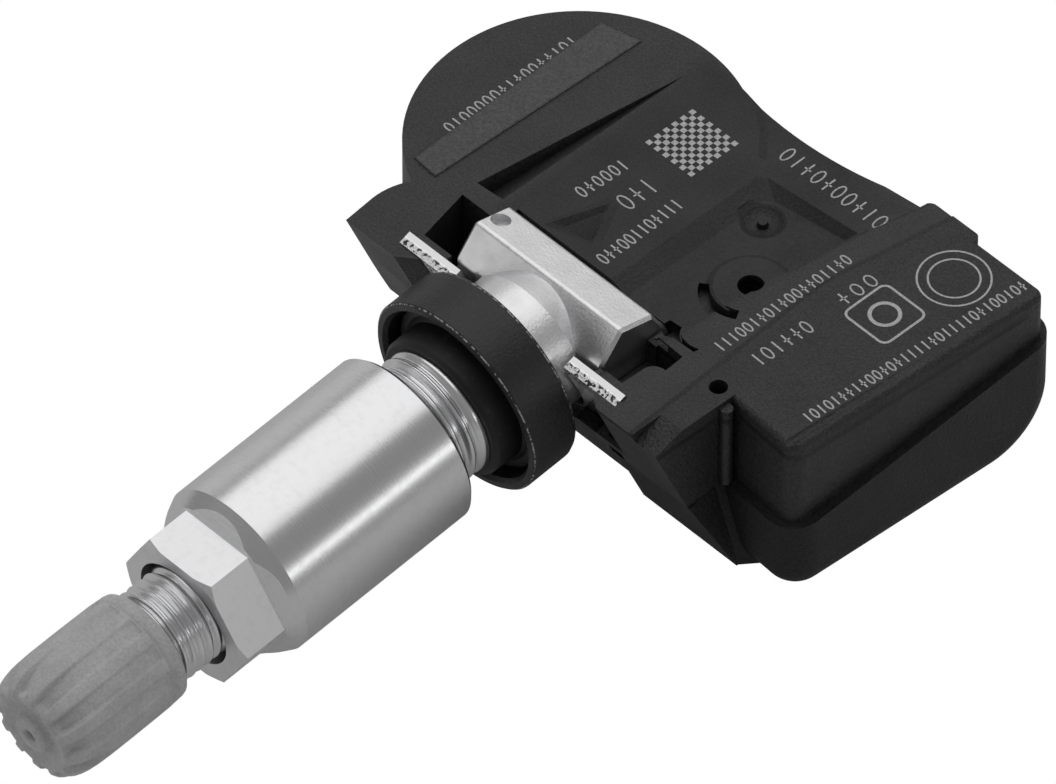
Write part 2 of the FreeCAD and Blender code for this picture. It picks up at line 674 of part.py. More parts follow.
def lean(shape):
    """Tip an upright piece back so that it lies along the slanting front face."""
    tipped = shape.copy()
    tipped.rotate(Vector(0, PLATE_FRONT_Y, PLATE_TOP_Z), Vector(1, 0, 0), FRONT_SLANT_DEG)
    return tipped


def socket_cut():
    """Cradle of the cross bar: a round back, an open top and a way in from the front."""
    r = BAR_R + POCKET_GAP
    half = BAR_HALF_LENGTH + POCKET_GAP
    round_back = Part.makeCylinder(r, 2 * half, Vector(-half, SWIVEL_Y, SWIVEL_Z), Vector(1, 0, 0))
    way_in = Part.makeBox(2 * half, SWIVEL_Y - PLATE_FRONT_Y, TOP_Z + 5 - (SWIVEL_Z - r),
                          Vector(-half, PLATE_FRONT_Y, SWIVEL_Z - r))
    above = Part.makeBox(2 * half, SOCKET_LIP_Y - SWIVEL_Y + 0.2, 10,
                         Vector(-half, SWIVEL_Y - 0.2, SWIVEL_Z + r * 0.4))
    return round_back.fuse(way_in).fuse(above)


def mouth_cut():
    """Front opening for the neck: flared side walls, a flat sill and a trough below."""
    reach = 6
    depth = PLATE_TOP_Z - MOUTH_FLOOR_Z
    straight = Part.makeBox(2 * MOUTH_BACK_X, reach, depth + reach,
                            Vector(-MOUTH_BACK_X, PLATE_FRONT_Y - reach, MOUTH_FLOOR_Z))
    wide = MOUTH_FRONT_X
    flare = outline([(-MOUTH_BACK_X, PLATE_FRONT_Y), (-wide, FRONT_Y), (-wide, FRONT_Y - reach),
                     (wide, FRONT_Y - reach), (wide, FRONT_Y), (MOUTH_BACK_X, PLATE_FRONT_Y)])
    opening = lean(straight).fuse(lean(prism_up(flare, MOUTH_FLOOR_Z, TOP_Z + reach)))
    trough = on_axis(Part.makeCylinder(NECK_R + 0.5, 12.8, Vector(0, -3, 0), Vector(0, 1, 0)))
    lowered = trough.copy()
    lowered.rotate(Vector(0, SWIVEL_Y, SWIVEL_Z), Vector(1, 0, 0), SWIVEL_DOWN_DEG)
    return opening.fuse(trough).fuse(lowered)


def side_pockets():
    """Hollows beside the ends of the cross bar, open at the top."""
    inner = BAR_HALF_LENGTH + 1
    front = POCKET_FRONT_Y
    back = POCKET_BACK_Y
    left = outline([(-inner, front), (-10.5, front), (-11.5, back), (-inner, back)])
    right = outline([(inner, front), (9.9, front), (10.0, 8.6), ("arc", (10.35, 9.6), (11.2, 9.9)),
                     (11.1, back + 0.15), (inner, back + 0.25)])
    hollow = prism_up(left, WING_FLOOR_Z + 1.6, TOP_Z + 1)
    hollow = hollow.fuse(prism_up(right, WING_FLOOR_Z + 2.4, TOP_Z + 1))
    reach = Part.makeBox(2 * inner + 2, back - front, TOP_Z + 1 - SWIVEL_Z, Vector(-inner - 1, front, SWIVEL_Z))
    return hollow.fuse(reach)


def lip_recess():
    """Narrow hollow behind the lip of the right pocket."""
    end = BAR_HALF_LENGTH
    plan = outline([(end - 0.3, 13.0), (end - 0.2, 14.1), (end + 0.9, 14.2),
                    ("arc", (end + 1.5, 13.4), (11.4, 13.1)), (11.3, 12.6), (end + 1.4, 12.5)])
    return prism_up(plan, TOP_Z - 1.6, TOP_Z + 1)


def plate_plan(grow, top):
    """Front view of the retaining plate, without its slot: ears, legs and a round bottom."""
    half = PLATE_HALF_WIDTH + grow
    low = PLATE_TOP_Z - PLATE_LEG - grow
    centre = PLATE_TOP_Z - PLATE_SLOT_DEPTH
    bottom = PLATE_BOTTOM_R + grow
    side = math.sqrt(bottom ** 2 - (low - centre) ** 2)
    return outline([(-half, top), (-half, low), (-side, low), ("arc", (0, centre - bottom), (side, low)),
                    (half, low), (half, top)])


def stand_up(face, y, depth):
    """Front view drawn in XY, stood up in the XZ plane at y and given depth."""
    solid = face.extrude(Vector(0, 0, -depth))
    solid.rotate(Vector(0, 0, 0), Vector(1, 0, 0), 90)
    solid.translate(Vector(0, y, 0))
    return solid


def retaining_plate():
    """Stamped steel horseshoe, pushed in from above, that keeps the cross bar in its cradle."""
    plate = stand_up(plate_plan(0, PLATE_TOP_Z), PLATE_FRONT_Y, PLATE_THICKNESS)
    centre = PLATE_TOP_Z - PLATE_SLOT_DEPTH
    half = PLATE_SLOT_HALF
    slot = outline([(-half, PLATE_TOP_Z + 1), (-half, centre), ("arc", (0, centre - half), (half, centre)),
                    (half, PLATE_TOP_Z + 1)])
    return lean(plate.cut(stand_up(slot, PLATE_FRONT_Y - 1, PLATE_THICKNESS + 2)))


def plate_slot():
    """Slot for the plate in the wings and the sill, open at the top."""
    thickness = PLATE_THICKNESS + 2 * SLIDE_FIT
    return lean(stand_up(plate_plan(SLIDE_FIT, PLATE_TOP_Z + 3), PLATE_FRONT_Y - SLIDE_FIT, thickness))


def wedge_cut(corners, depth):
    """Shallow three-cornered hollow in the top face, deepest under the fourth point given."""
    z = TOP_Z + 0.02
    a, b, c = [Vector(x, y, z) for x, y in corners[:3]]
    foot = Vector(corners[3][0], corners[3][1], TOP_Z - depth)
    faces = []
    for side in ((a, b, c), (a, b, foot), (b, c, foot), (c, a, foot)):
        faces.append(Part.Face(Part.makePolygon(list(side) + [side[0]])))
    solid = Part.Solid(Part.Shell(faces))
    if solid.Volume < 0:
        solid.reverse()
    return solid


def panel_cut():
    """Sunken panel round the pressure port, with soft sloping sides at the left and the back."""
    near = 11.0
    right = PANEL_RIGHT
    back = PANEL_BACK
    low = outline([(PANEL_LEFT + PANEL_SLOPE, near), (right - PANEL_SKEW, near), (right - 0.1, back + 0.1),
                   (PANEL_LEFT + PANEL_SLOPE + 0.6, back - 0.9), (PANEL_LEFT + PANEL_SLOPE, back - 1.5)])
    high = outline([(PANEL_LEFT, near), (right - PANEL_SKEW, near), (right - 0.1, back + 0.8),
                    (PANEL_LEFT + 0.6, back), (PANEL_LEFT, back - 0.6)])
    low.translate(Vector(0, 0, TOP_Z - PANEL_DEPTH))
    high.translate(Vector(0, 0, TOP_Z + 0.02))
    ramp = Part.makeLoft([low.OuterWire, high.OuterWire], True, True)
    port_pad = Part.makeCylinder(PORT_PAD_R, 5, Vector(PORT_X, PORT_Y, TOP_Z - PANEL_DEPTH - 1))
    pad_top = Part.makeBox(20, 20, PANEL_DEPTH - 0.2, Vector(PORT_X - 10, PORT_Y - 10, TOP_Z - PANEL_DEPTH))
    return ramp.cut(port_pad.common(pad_top))


def waist_drop():
    """Thin layer off the waist's top, up to the crease that carries on the lobe's circle."""
    plan = outline([(LOBE_X + 5, PANEL_BACK + 0.9)] + BAND_EDGE[-3:] + [(LOBE_X + 5, BACK_Y + 5)])
    low = TOP_Z - WAIST_DROP
    layer = prism_up(plan, low, TOP_Z + 1)
    crease = Part.makeCone(CREASE_R + 3 * WAIST_DROP, CREASE_R, WAIST_DROP, Vector(LOBE_X, LOBE_Y, low))
    return layer.cut(crease).cut(Part.makeCylinder(CREASE_R, 3, Vector(LOBE_X, LOBE_Y, TOP_Z - 1)))


def side_groove():
    """Soft line along the right edge of the block's top, which fades out towards the back."""
    top = TOP_Z + BLOCK_RAISE
    start = Vector(BLOCK_RIGHT_X - SIDE_GROOVE_IN, BLOCK_FRONT_Y - BLOCK_FRONT_SKEW - 1,
                   top + SIDE_GROOVE_R - SIDE_GROOVE_DEPTH)
    length = (BACK_Y - BLOCK_FRONT_Y) * 0.7
    run = Vector(BLOCK_FLARE, BACK_Y - BLOCK_FRONT_Y, SIDE_GROOVE_DEPTH / 0.7)
    return Part.makeCylinder(SIDE_GROOVE_R, length, start, run)


def top_details():
    """Port, gate mark, tapered grooves and small holes, all taken out of the top face."""
    deck = TOP_Z - PANEL_DEPTH
    port = Part.makeCylinder(PORT_R, 8, Vector(PORT_X, PORT_Y, TOP_Z - 6))
    ball = (GATE_R ** 2 + GATE_DEPTH ** 2) / (2 * GATE_DEPTH)
    dish = Part.makeSphere(ball, Vector(GATE_X, GATE_Y, deck - GATE_DEPTH + ball))
    nub = Part.makeCone(0.5, 0.3, 0.4, Vector(GATE_X, GATE_Y, deck - GATE_DEPTH - 0.05))
    dish = dish.common(Part.makeBox(4, 4, 2, Vector(GATE_X - 2, GATE_Y - 2, deck - 1.2))).cut(nub)
    notch_foot = TOP_Z - NOTCH_DEPTH
    notch_ring = Part.makeCylinder(PORT_PAD_R + NOTCH_WIDTH, 3, Vector(PORT_X, PORT_Y - 0.4, notch_foot))
    notch_ring = notch_ring.cut(Part.makeCylinder(PORT_PAD_R, 3, Vector(PORT_X, PORT_Y, notch_foot)))
    notch_wedge = prism_up(outline([(PORT_X, PORT_Y), (PORT_X - 8, PORT_Y - 6), (PORT_X - 4, PORT_Y - 10),
                                    (PORT_X + 4.5, PORT_Y - 8)]), TOP_Z - 3, TOP_Z + 1)
    notch = notch_ring.common(notch_wedge)
    blind = Part.makeCylinder(BLIND_R, BLIND_DEPTH + 2, Vector(BLIND_X, BLIND_Y, TOP_Z - BLIND_DEPTH))
    return [port, dish, notch, blind, wedge_cut(LONG_GROOVE, 1.5), wedge_cut(SHORT_GROOVE, 1.0)]


def upper_block():
    """Block part of the upper moulding, with its softened top edge and the small step in its back."""
    top = TOP_Z + BLOCK_RAISE
    low = SEAM_FRONT_Z - OVERLAP
    block = block_prism(BLOCK_LEFT_X - OVERLAP, 0, BLOCK_CORNER_R, BLOCK_CORNER_R * 0.7, low, top)
    tab = soft_outline([
        (BACK_TAB_LEFT, BACK_Y - 3 * OVERLAP, 0), (BACK_TAB_RIGHT, BACK_Y - 3 * OVERLAP, 0),
        (BACK_TAB_RIGHT, BACK_Y + BACK_TAB, BACK_TAB * 0.9), (BACK_TAB_LEFT, BACK_Y + BACK_TAB, BACK_TAB * 1.4),
    ])
    rims = [e for e in block.Edges if e.BoundBox.ZMin > top - 0.01 and e.BoundBox.XMax > BLOCK_LEFT_X + OVERLAP]
    block = block.makeFillet(BLOCK_EDGE, rims)
    return block.fuse(prism_up(tab, low, top))


def upper_housing():
    """Upper moulding: top face, wings, cradle and the walls down to the seam."""
    low = SEAM_FRONT_Z - OVERLAP
    high = TOP_Z + BLOCK_RAISE
    body = body_plan().common(Part.makeBox(2 * FAR, 2 * FAR, high - low, Vector(-FAR, -FAR, low)))
    shell = body.fuse(upper_block()).fuse(wing_prism()).cut(low_decks()).cut(wing_bevel()).cut(below_seam())
    strip = prism_up(outline(PAD_STRIP), TOP_Z - OVERLAP, TOP_Z + PAD_RAISE)
    rib = Part.makeCylinder(RIB_R, TOP_Z - SEAM_FRONT_Z,
                            Vector(WING_RIGHT_X + RIB_R, BLOCK_FRONT_Y - 2.2 * RIB_R, SEAM_FRONT_Z))
    shell = shell.fuse(strip.common(body_plan())).fuse(rib)
    for hole in [front_cut(), cavity(), mouth_cut(), socket_cut(), side_pockets(), plate_slot(), panel_cut(),
                 waist_drop(), lip_recess(), side_groove()]:
        shell = shell.cut(hole)
    for hole in top_details():
        shell = shell.cut(hole)
    return shell


def back_heel():
    """The space outside the large rounding along the tub's bottom edge at the back."""
    r = TUB_BACK_ROUND
    y = BACK_Y + COVER_PROUD - r
    corner = Part.makeBox(2 * FAR, r + OVERLAP, r + OVERLAP, Vector(-FAR, y, FLOOR_Z - OVERLAP))
    return corner.cut(Part.makeCylinder(r, 2 * FAR, Vector(-FAR, y, FLOOR_Z + r), Vector(1, 0, 0)))


def lower_cover():
    """Lower moulding: the tub under the lobe and the block, welded on along the seam."""
    deep = block_prism(LEG_LEFT_X, COVER_PROUD, COVER_CORNER_R, 0, FLOOR_Z, 5).cut(back_heel())
    edge_x = BLOCK_RIGHT_X - COVER_CORNER_R
    feet = [e for e in deep.Edges if e.BoundBox.ZMin < FLOOR_Z + 0.01 and e.BoundBox.XMin > LEG_LEFT_X + 0.01
            or e.BoundBox.XMin > edge_x and e.BoundBox.YMin > WAIST_Y - TUB_BACK_ROUND]
    deep = deep.makeFillet(TUB_ROUND, feet)
    leg_top = SEAM_FRONT_Z + 3
    sole = FLOOR_Z + 0.2
    inner = BLOCK_FRONT_Y - 1.8
    back = BLOCK_FRONT_Y + OVERLAP
    left = LEG_LEFT_X
    leg = Part.makeBox(WING_RIGHT_X - left, back - FRONT_Y, leg_top - sole, Vector(left, FRONT_Y, sole))
    foot = outline([(left, FRONT_Y), (LEG_FOOT_X, FRONT_Y), (LEG_FOOT_X, inner), (LEG_FOOT_X + 2.2, back),
                    (left, back)])
    knee = outline([(left, FRONT_Y), (WING_RIGHT_X, FRONT_Y), (WING_RIGHT_X, inner), (WING_RIGHT_X + 0.6, back),
                    (left, back)])
    foot.translate(Vector(0, 0, sole))
    knee.translate(Vector(0, 0, SEAM_FRONT_Z))
    web = Part.makeLoft([foot.OuterWire, knee.OuterWire], True, True)
    leg = leg.fuse(web).cut(front_cut())
    low_r = LOBE_R - 0.2
    round_in = 3.0
    k = round_in * (1 - math.sqrt(0.5))
    profile = outline([
        (0, FLOOR_Z), (low_r - TUB_INSET - round_in, FLOOR_Z),
        ("arc", (low_r - TUB_INSET - k, FLOOR_Z + k), (low_r - TUB_INSET, FLOOR_Z + round_in)),
        (low_r, -5.5), (low_r, 5), (0, 5),
    ])
    profile.rotate(Vector(0, 0, 0), Vector(1, 0, 0), 90)
    lobe = profile.revolve(Vector(0, 0, 0), Vector(0, 0, 1), 360)
    lobe.translate(Vector(LOBE_X, LOBE_Y, 0))
    middle = Part.makeBox(BLOCK_LEFT_X - LOBE_X, WAIST_Y + 0.2 - POCKET_BLOCK_BACK, 5 - FLOOR_Z,
                          Vector(LOBE_X, POCKET_BLOCK_BACK, FLOOR_Z))
    heel = [e for e in middle.Edges if e.BoundBox.ZMax < FLOOR_Z + 0.01 and e.BoundBox.YMin > WAIST_Y - 1]
    middle = middle.makeFillet(TUB_ROUND, heel)
    shelf = Part.makeBox(60, 60, 60, Vector(LEG_LEFT_X - 60, POCKET_BLOCK_BACK - 60, WING_FLOOR_Z))
    low = Part.makeBox(FAR, FAR, 20, Vector(LEG_LEFT_X - FAR, POCKET_BLOCK_BACK - FAR, WING_FLOOR_Z - 20))
    below = below_seam().fuse(low)
    cover = deep.fuse(lobe).fuse(middle).fuse(leg).cut(shelf).common(below)
    cover = cover.cut(cavity())
    board_under = BOARD_Z - BOARD_THICKNESS
    floor = FLOOR_Z + COVER_WALL
    for x, y in BOARD_POSTS:
        cover = cover.fuse(Part.makeCylinder(POST_R, board_under - floor + 0.2, Vector(x, y, floor - 0.2)))
    return cover


def board_plan():
    """Outline of the circuit board, raised to the board's thickness."""
    edge = SIDE_WALL + BOARD_GAP
    front = SOCKET_WALL_Y + BOARD_GAP
    left = LEG_LEFT_X + edge + 0.5
    t = BOARD_THICKNESS
    round_part = Part.makeCylinder(LOBE_R - TUB_INSET - edge, t, Vector(LOBE_X, LOBE_Y, 0))
    middle = Part.makeBox(BLOCK_LEFT_X - LOBE_X, WAIST_Y - edge - front, t, Vector(LOBE_X, front, 0))
    block = Part.makeBox(BLOCK_RIGHT_X - edge - left, BACK_Y - edge - front, t, Vector(left, front, 0))
    keep = Part.makeBox(2 * FAR, FAR, 2 * t, Vector(-FAR, front, 0))
    return round_part.common(keep).fuse(middle).fuse(block)


def circuit_board():
    """Glass fibre board: round over the cell, square in the block."""
    board = board_plan().removeSplitter()
    board.translate(Vector(0, 0, BOARD_Z - BOARD_THICKNESS))
    return board


def cell_base():
    """Height of the underside of the coin cell."""
    return FLOOR_Z + COVER_WALL + TAB_THICKNESS


def battery_cell():
    """Lithium coin cell: a can with a rounded foot and a narrower lid."""
    base = cell_base()
    top = base + CELL_HEIGHT
    profile = outline([
        (0, base), (CELL_R - CELL_EDGE, base),
        ("arc", (CELL_R - CELL_EDGE * 0.3, base + CELL_EDGE * 0.3), (CELL_R, base + CELL_EDGE)),
        (CELL_R, top - CELL_EDGE), (CELL_R - 0.9, top - 0.3), (CELL_R - 1.1, top), (0, top),
    ])
    profile.rotate(Vector(0, 0, 0), Vector(1, 0, 0), 90)
    cell = profile.revolve(Vector(0, 0, 0), Vector(0, 0, 1), 360)
    cell.translate(Vector(LOBE_X, LOBE_Y, 0))
    return cell


def battery_tab(level, under):
    """Welded nickel strip from one face of the cell up to the board."""
    t = TAB_THICKNESS
    half = TAB_WIDTH / 2
    board_under = BOARD_Z - BOARD_THICKNESS
    out_x = LOBE_X + CELL_R + (TAB_OUT * 0.55 if under else TAB_OUT)
    y = LOBE_Y + (2.6 if under else -2.6)
    flat = Part.makeBox(out_x - LOBE_X + 3.0, TAB_WIDTH, t, Vector(LOBE_X - 3.0, y - half, level))
    riser = Part.makeBox(t, TAB_WIDTH, board_under - level, Vector(out_x - t, y - half, level))
    return flat.fuse(riser)


def sensor_chip():
    """Pressure and motion sensor in its package, with a small inlet on top."""
    half = CHIP_SIZE / 2
    body = Part.makeBox(CHIP_SIZE, CHIP_SIZE, CHIP_HEIGHT, Vector(PORT_X - half, PORT_Y - half, BOARD_Z))
    depth = CHIP_HEIGHT / 3
    inlet = Part.makeCylinder(CHIP_SIZE / 10, depth, Vector(PORT_X, PORT_Y, BOARD_Z + CHIP_HEIGHT - depth))
    return body.cut(inlet)


def port_seal():
    """Soft ring between the sensor's inlet and the housing's port."""
    low = BOARD_Z + CHIP_HEIGHT
    high = TOP_Z - ROOF_WALL
    ring = Part.makeCylinder(PORT_R + SEAL_WALL, high - low, Vector(PORT_X, PORT_Y, low))
    return ring.cut(Part.makeCylinder(PORT_R + 0.1, high - low, Vector(PORT_X, PORT_Y, low)))


def chip(place, size):
    """Plain moulded package seated on the board."""
    x, y = place
    long, wide, high = size
    box = Part.makeBox(long, wide, high, Vector(x - long / 2, y - wide / 2, BOARD_Z))
    upright = [e for e in box.Edges if abs(e.BoundBox.ZLength - high) < 0.01]
    return box.makeChamfer(min(long, wide) * 0.08, upright)


def capacitors():
    """Row of ceramic capacitors beside the transmitter."""
    row = []
    for number in range(CAPACITORS):
        corner = Vector(CAPACITOR_X + CAPACITOR_PITCH * number, CAPACITOR_Y, BOARD_Z)
        row.append(Part.makeBox(CAPACITOR_LENGTH, CAPACITOR_LENGTH / 2, CAPACITOR_HEIGHT, corner))
    return Part.makeCompound(row)


def coil_core():
    """Ferrite rod with square end flanges for the wake-up coil."""
    x = COIL_X
    y = COIL_Y
    half = COIL_SIZE / 2
    mid = BOARD_Z + half
    thin = COIL_ROD / 2
    rod = Part.makeBox(COIL_LENGTH, COIL_ROD, COIL_ROD, Vector(x, y - thin, mid - thin))
    for at in (x, x + COIL_LENGTH - COIL_FLANGE):
        rod = rod.fuse(Part.makeBox(COIL_FLANGE, COIL_SIZE, COIL_SIZE, Vector(at, y - half, BOARD_Z)))
    return rod


def coil_winding():
    """Copper winding of the wake-up coil, drawn as one sleeve between the flanges."""
    x = COIL_X + COIL_FLANGE
    y = COIL_Y
    mid = BOARD_Z + COIL_SIZE / 2
    length = COIL_LENGTH - 2 * COIL_FLANGE
    half = WINDING_SIZE / 2
    thin = COIL_ROD / 2
    outer = Part.makeBox(length, WINDING_SIZE, WINDING_SIZE, Vector(x, y - half, mid - half))
    along = [e for e in outer.Edges if abs(e.BoundBox.XLength - length) < 0.01]
    outer = outer.makeFillet(WINDING_SIZE * 0.2, along)
    return outer.cut(Part.makeBox(length, COIL_ROD, COIL_ROD, Vector(x, y - thin, mid - thin)))


def rf_antenna():
    """Bent brass strip that stands on the board along the back of the block."""
    t = ANTENNA_THICKNESS
    foot = ANTENNA_FOOT
    y = BACK_Y - SIDE_WALL - BOARD_GAP - ANTENNA_IN
    rise = ANTENNA_RISE
    strip = Part.makeBox(COIL_LENGTH, t, rise, Vector(COIL_X, y, BOARD_Z))
    window = Part.makeBox(COIL_LENGTH - 2 * foot, t, rise - foot * 0.6, Vector(COIL_X + foot, y, BOARD_Z))
    return strip.cut(window)


def main():
    os.makedirs("parts", exist_ok=True)
    export("valve_stem", valve_stem())
    export("valve_nut", valve_nut())
    export("valve_cap", valve_cap())
    export("cap_seal", cap_seal())
    export("core_body", core_body())
    export("core_gasket", core_gasket())
    export("core_pin", core_pin())
    export("core_seat", core_seat())
    export("core_spring", core_spring())
    export("rubber_grommet", rubber_grommet())
    export("support_ring", support_ring())
    export("retaining_plate", retaining_plate())
    export("upper_housing", upper_housing())
    export("lower_cover", lower_cover())
    export("circuit_board", circuit_board())
    export("battery_cell", battery_cell())
    export("battery_tab_lower", battery_tab(cell_base() - TAB_THICKNESS, True))
    export("battery_tab_upper", battery_tab(cell_base() + CELL_HEIGHT, False))
    export("sensor_chip", sensor_chip())
    export("port_seal", port_seal())
    export("transmitter_chip", chip(TRANSMITTER_AT, TRANSMITTER_SIZE))
    export("crystal", chip(CRYSTAL_AT, CRYSTAL_SIZE))
    export("capacitors", capacitors())
    export("coil_core", coil_core())
    export("coil_winding", coil_winding())
    export("rf_antenna", rf_antenna())


main()
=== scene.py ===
# %% [markdown]
# Tyre pressure sensor. The solid model is loaded first and stays where it is. Everything after it adds
# finishes to those solids, or small visible things that are too fine to be solids, such as thread turns and
# laser marks. All lengths are metres, in the solid model's own frame.

import json
import math

import bmesh
import bpy
from mathutils import Matrix, Vector


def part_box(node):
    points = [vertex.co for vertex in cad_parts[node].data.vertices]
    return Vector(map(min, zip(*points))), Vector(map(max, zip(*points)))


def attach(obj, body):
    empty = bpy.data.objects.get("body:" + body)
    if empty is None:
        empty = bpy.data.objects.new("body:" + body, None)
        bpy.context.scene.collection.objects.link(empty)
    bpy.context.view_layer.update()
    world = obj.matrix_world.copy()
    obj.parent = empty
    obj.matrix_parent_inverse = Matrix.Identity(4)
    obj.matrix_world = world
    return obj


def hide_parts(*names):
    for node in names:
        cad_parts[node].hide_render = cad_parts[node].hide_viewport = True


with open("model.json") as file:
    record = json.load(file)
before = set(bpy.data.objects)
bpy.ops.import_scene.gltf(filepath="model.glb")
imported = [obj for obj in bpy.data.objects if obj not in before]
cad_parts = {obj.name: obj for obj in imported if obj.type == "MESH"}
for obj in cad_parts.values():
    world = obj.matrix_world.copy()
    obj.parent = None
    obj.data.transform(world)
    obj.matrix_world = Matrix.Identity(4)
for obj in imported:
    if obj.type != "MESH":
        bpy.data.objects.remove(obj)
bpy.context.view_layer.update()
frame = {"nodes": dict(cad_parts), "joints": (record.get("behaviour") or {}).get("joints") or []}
MM = 0.001

# %% [markdown]
# The valve hangs a few degrees below the housing's top face. Its axis is read from the hinge that turns the
# nut, so every ring, thread and turned line below follows the same line.

# %% Valve axis
joints = {joint["name"]: joint for joint in frame["joints"]}
INWARD = -Vector(joints["nut_turn"]["axis"]).normalized()
DROOP = math.atan2(INWARD.z, INWARD.y)
UPRIGHT = Matrix.Rotation(-DROOP, 4, "X")
TIPPED = Matrix.Rotation(DROOP, 4, "X")
print("valve axis droops", round(math.degrees(DROOP), 2), "degrees")

# %% [markdown]
# Shader arithmetic reads best as ordinary sums. The small class Value wraps one socket of a material, and
# each operator adds the Math node that does it. The class Finish holds the material itself. A Mix node has
# separate sockets for numbers, vectors and colours under the same names, so its colour sockets are picked
# by their places.

# %% Shader arithmetic
MIX_BELOW, MIX_ABOVE, MIX_RESULT = 6, 7, 2


class Value:
    """One number that varies over a surface."""

    def __init__(self, net, socket):
        self.net = net
        self.socket = socket

    def _math(self, operation, *others):
        node = self.net.tree.nodes.new("ShaderNodeMath")
        node.operation = operation
        for slot, other in zip(node.inputs, (self,) + others):
            self.net.feed(slot, other)
        return Value(self.net, node.outputs[0])

    def __add__(self, other):
        return self._math("ADD", other)

    __radd__ = __add__

    def __mul__(self, other):
        return self._math("MULTIPLY", other)

    __rmul__ = __mul__

    def __sub__(self, other):
        return self._math("SUBTRACT", other)

    def __rsub__(self, other):
        return self * -1 + other

    def __truediv__(self, other):
        return self._math("DIVIDE", other)

    def root(self):
        return self._math("SQRT")

    def absolute(self):
        return self._math("ABSOLUTE")

    def smooth(self, low, high):
        """0 below low, 1 above high, and an even ramp between."""
        values = {"Value": self, "From Min": low, "From Max": high}
        return self.net.node("ShaderNodeMapRange", {"clamp": True}, values)


class Finish:
    """A material under construction: its node tree, its coordinates and its surface shader."""

    def __init__(self, name, colour, roughness, metallic=0.0, specular=0.5):
        self.material = bpy.data.materials.new(name)
        self.material.use_nodes = True
        self.tree = self.material.node_tree
        self.shader = self.tree.nodes["Principled BSDF"]
        self.colour = colour
        self.shader.inputs["Base Color"].default_value = (*colour, 1)
        self.shader.inputs["Roughness"].default_value = roughness
        self.shader.inputs["Metallic"].default_value = metallic
        self.shader.inputs["Specular IOR Level"].default_value = specular
        self.place = self.tree.nodes.new("ShaderNodeTexCoord").outputs["Object"]

    def feed(self, slot, value):
        """Links a socket to an input, or writes a plain number, vector or colour into it."""
        if isinstance(value, Value):
            self.tree.links.new(value.socket, slot)
        elif isinstance(value, bpy.types.NodeSocket):
            self.tree.links.new(value, slot)
        else:
            slot.default_value = value

    def node(self, kind, settings, values, output=0):
        """Adds any node: its settings first, then what goes into its inputs."""
        node = self.tree.nodes.new(kind)
        for key, value in settings.items():
            setattr(node, key, value)
        for key, value in values.items():
            self.feed(node.inputs[key], value)
        return Value(self, node.outputs[output])

    def noise(self, per_mm, detail=2.0):
        """Noise with so many cells to the millimetre."""
        values = {"Vector": self.place, "Scale": per_mm / MM, "Detail": detail}
        return self.node("ShaderNodeTexNoise", {}, values)

    def specks(self, per_mm):
        """Distance to the nearest of many scattered points, in cells."""
        return self.node("ShaderNodeTexVoronoi", {}, {"Vector": self.place, "Scale": per_mm / MM})

    def part(self, axis, origin=(0, 0, 0)):
        """How far a point lies along an axis, in millimetres."""
        kind = "ShaderNodeVectorMath"
        offset = self.node(kind, {"operation": "SUBTRACT"}, {0: self.place, 1: origin})
        return self.node(kind, {"operation": "DOT_PRODUCT"}, {0: offset, 1: axis}, output="Value") / MM

    def tint(self, mask, colour, base=None):
        """Mixes a colour over the base colour where the mask is 1."""
        values = {"Factor": mask, MIX_BELOW: base or (*self.colour, 1), MIX_ABOVE: (*colour, 1)}
        return self.node("ShaderNodeMix", {"data_type": "RGBA"}, values, output=MIX_RESULT).socket

    def paint(self, socket):
        self.tree.links.new(socket, self.shader.inputs["Base Color"])

    def rough(self, value):
        self.feed(self.shader.inputs["Roughness"], value)

    def beside(self, start, end, soft):
        """1 left of the line from start to end, 0 right of it, with a ramp so many millimetres wide."""
        run = (Vector(end) - Vector(start)).normalized()
        offset = self.part((-run.y, run.x, 0), origin=(start[0] * MM, start[1] * MM, 0))
        return offset.smooth(-soft / 2, soft / 2)

    def inside(self, corners, soft):
        """1 inside an outline whose corners run anticlockwise, seen from above."""
        mask = 1
        for at, corner in enumerate(corners):
            mask = mask * self.beside(corners[at - 1], corner, soft)
        return mask

    def bump(self, height, depth_mm=1.0):
        """Raises the surface by a height field times a depth."""
        values = {"Height": height, "Distance": depth_mm * MM, "Strength": 1.0}
        self.feed(self.shader.inputs["Normal"], self.node("ShaderNodeBump", {}, values))


def paint_node(name, finish):
    """Puts a finish on one of the solid model's pieces."""
    slots = frame["nodes"][name].data.materials
    slots.clear()
    slots.append(finish.material)


# %% [markdown]
# The housing is glass-filled black plastic. The colour itself is almost black; most of what the eye gets is
# the soft sheen of the surface, so the roughness matters more than the colour. A fine spark-eroded grain
# breaks the sheen up, and short glass fibres at the surface show as pale specks. The raised block and the
# pad strip were eroded more coarsely, and the strip is a paler patch. The soft rises that the solids hold
# as sharp steps get a height field of their own: a ramp along each edge, which turns the light over a width
# the eye can see.


# %% Moulded plastic
HOUSING_GREY = (0.030, 0.030, 0.0303)
COVER_SHADED_GREY = (0.005, 0.005, 0.005)
SOFT_EDGE = 0.5
PAD_CORNERS = ((-16.9, 30.7), (-16.5, 11.5), (-14.1, 11.3), (-13.5, 31.5))
BLOCK_LINES = (((14.75, 35.0), (12.9, 24.0)), ((12.9, 24.0), (13.9, 4.5)))
BAND_LINES = (((12.5, 35.0), (11.1, 28.9)), ((11.1, 28.9), (9.45, 16.0)))
DECK_CORNERS = ((-9.0, 34.0), (-8.8, 12.0), (9.0, 12.0), (11.5, 34.0))
LEAF_CORNERS = ((-4.9, 14.2), (-1.4, 15.2), (-3.4, 18.9))
PORT_CENTRE = (9.2, 20.4)
PORT_RING_R = 3.0


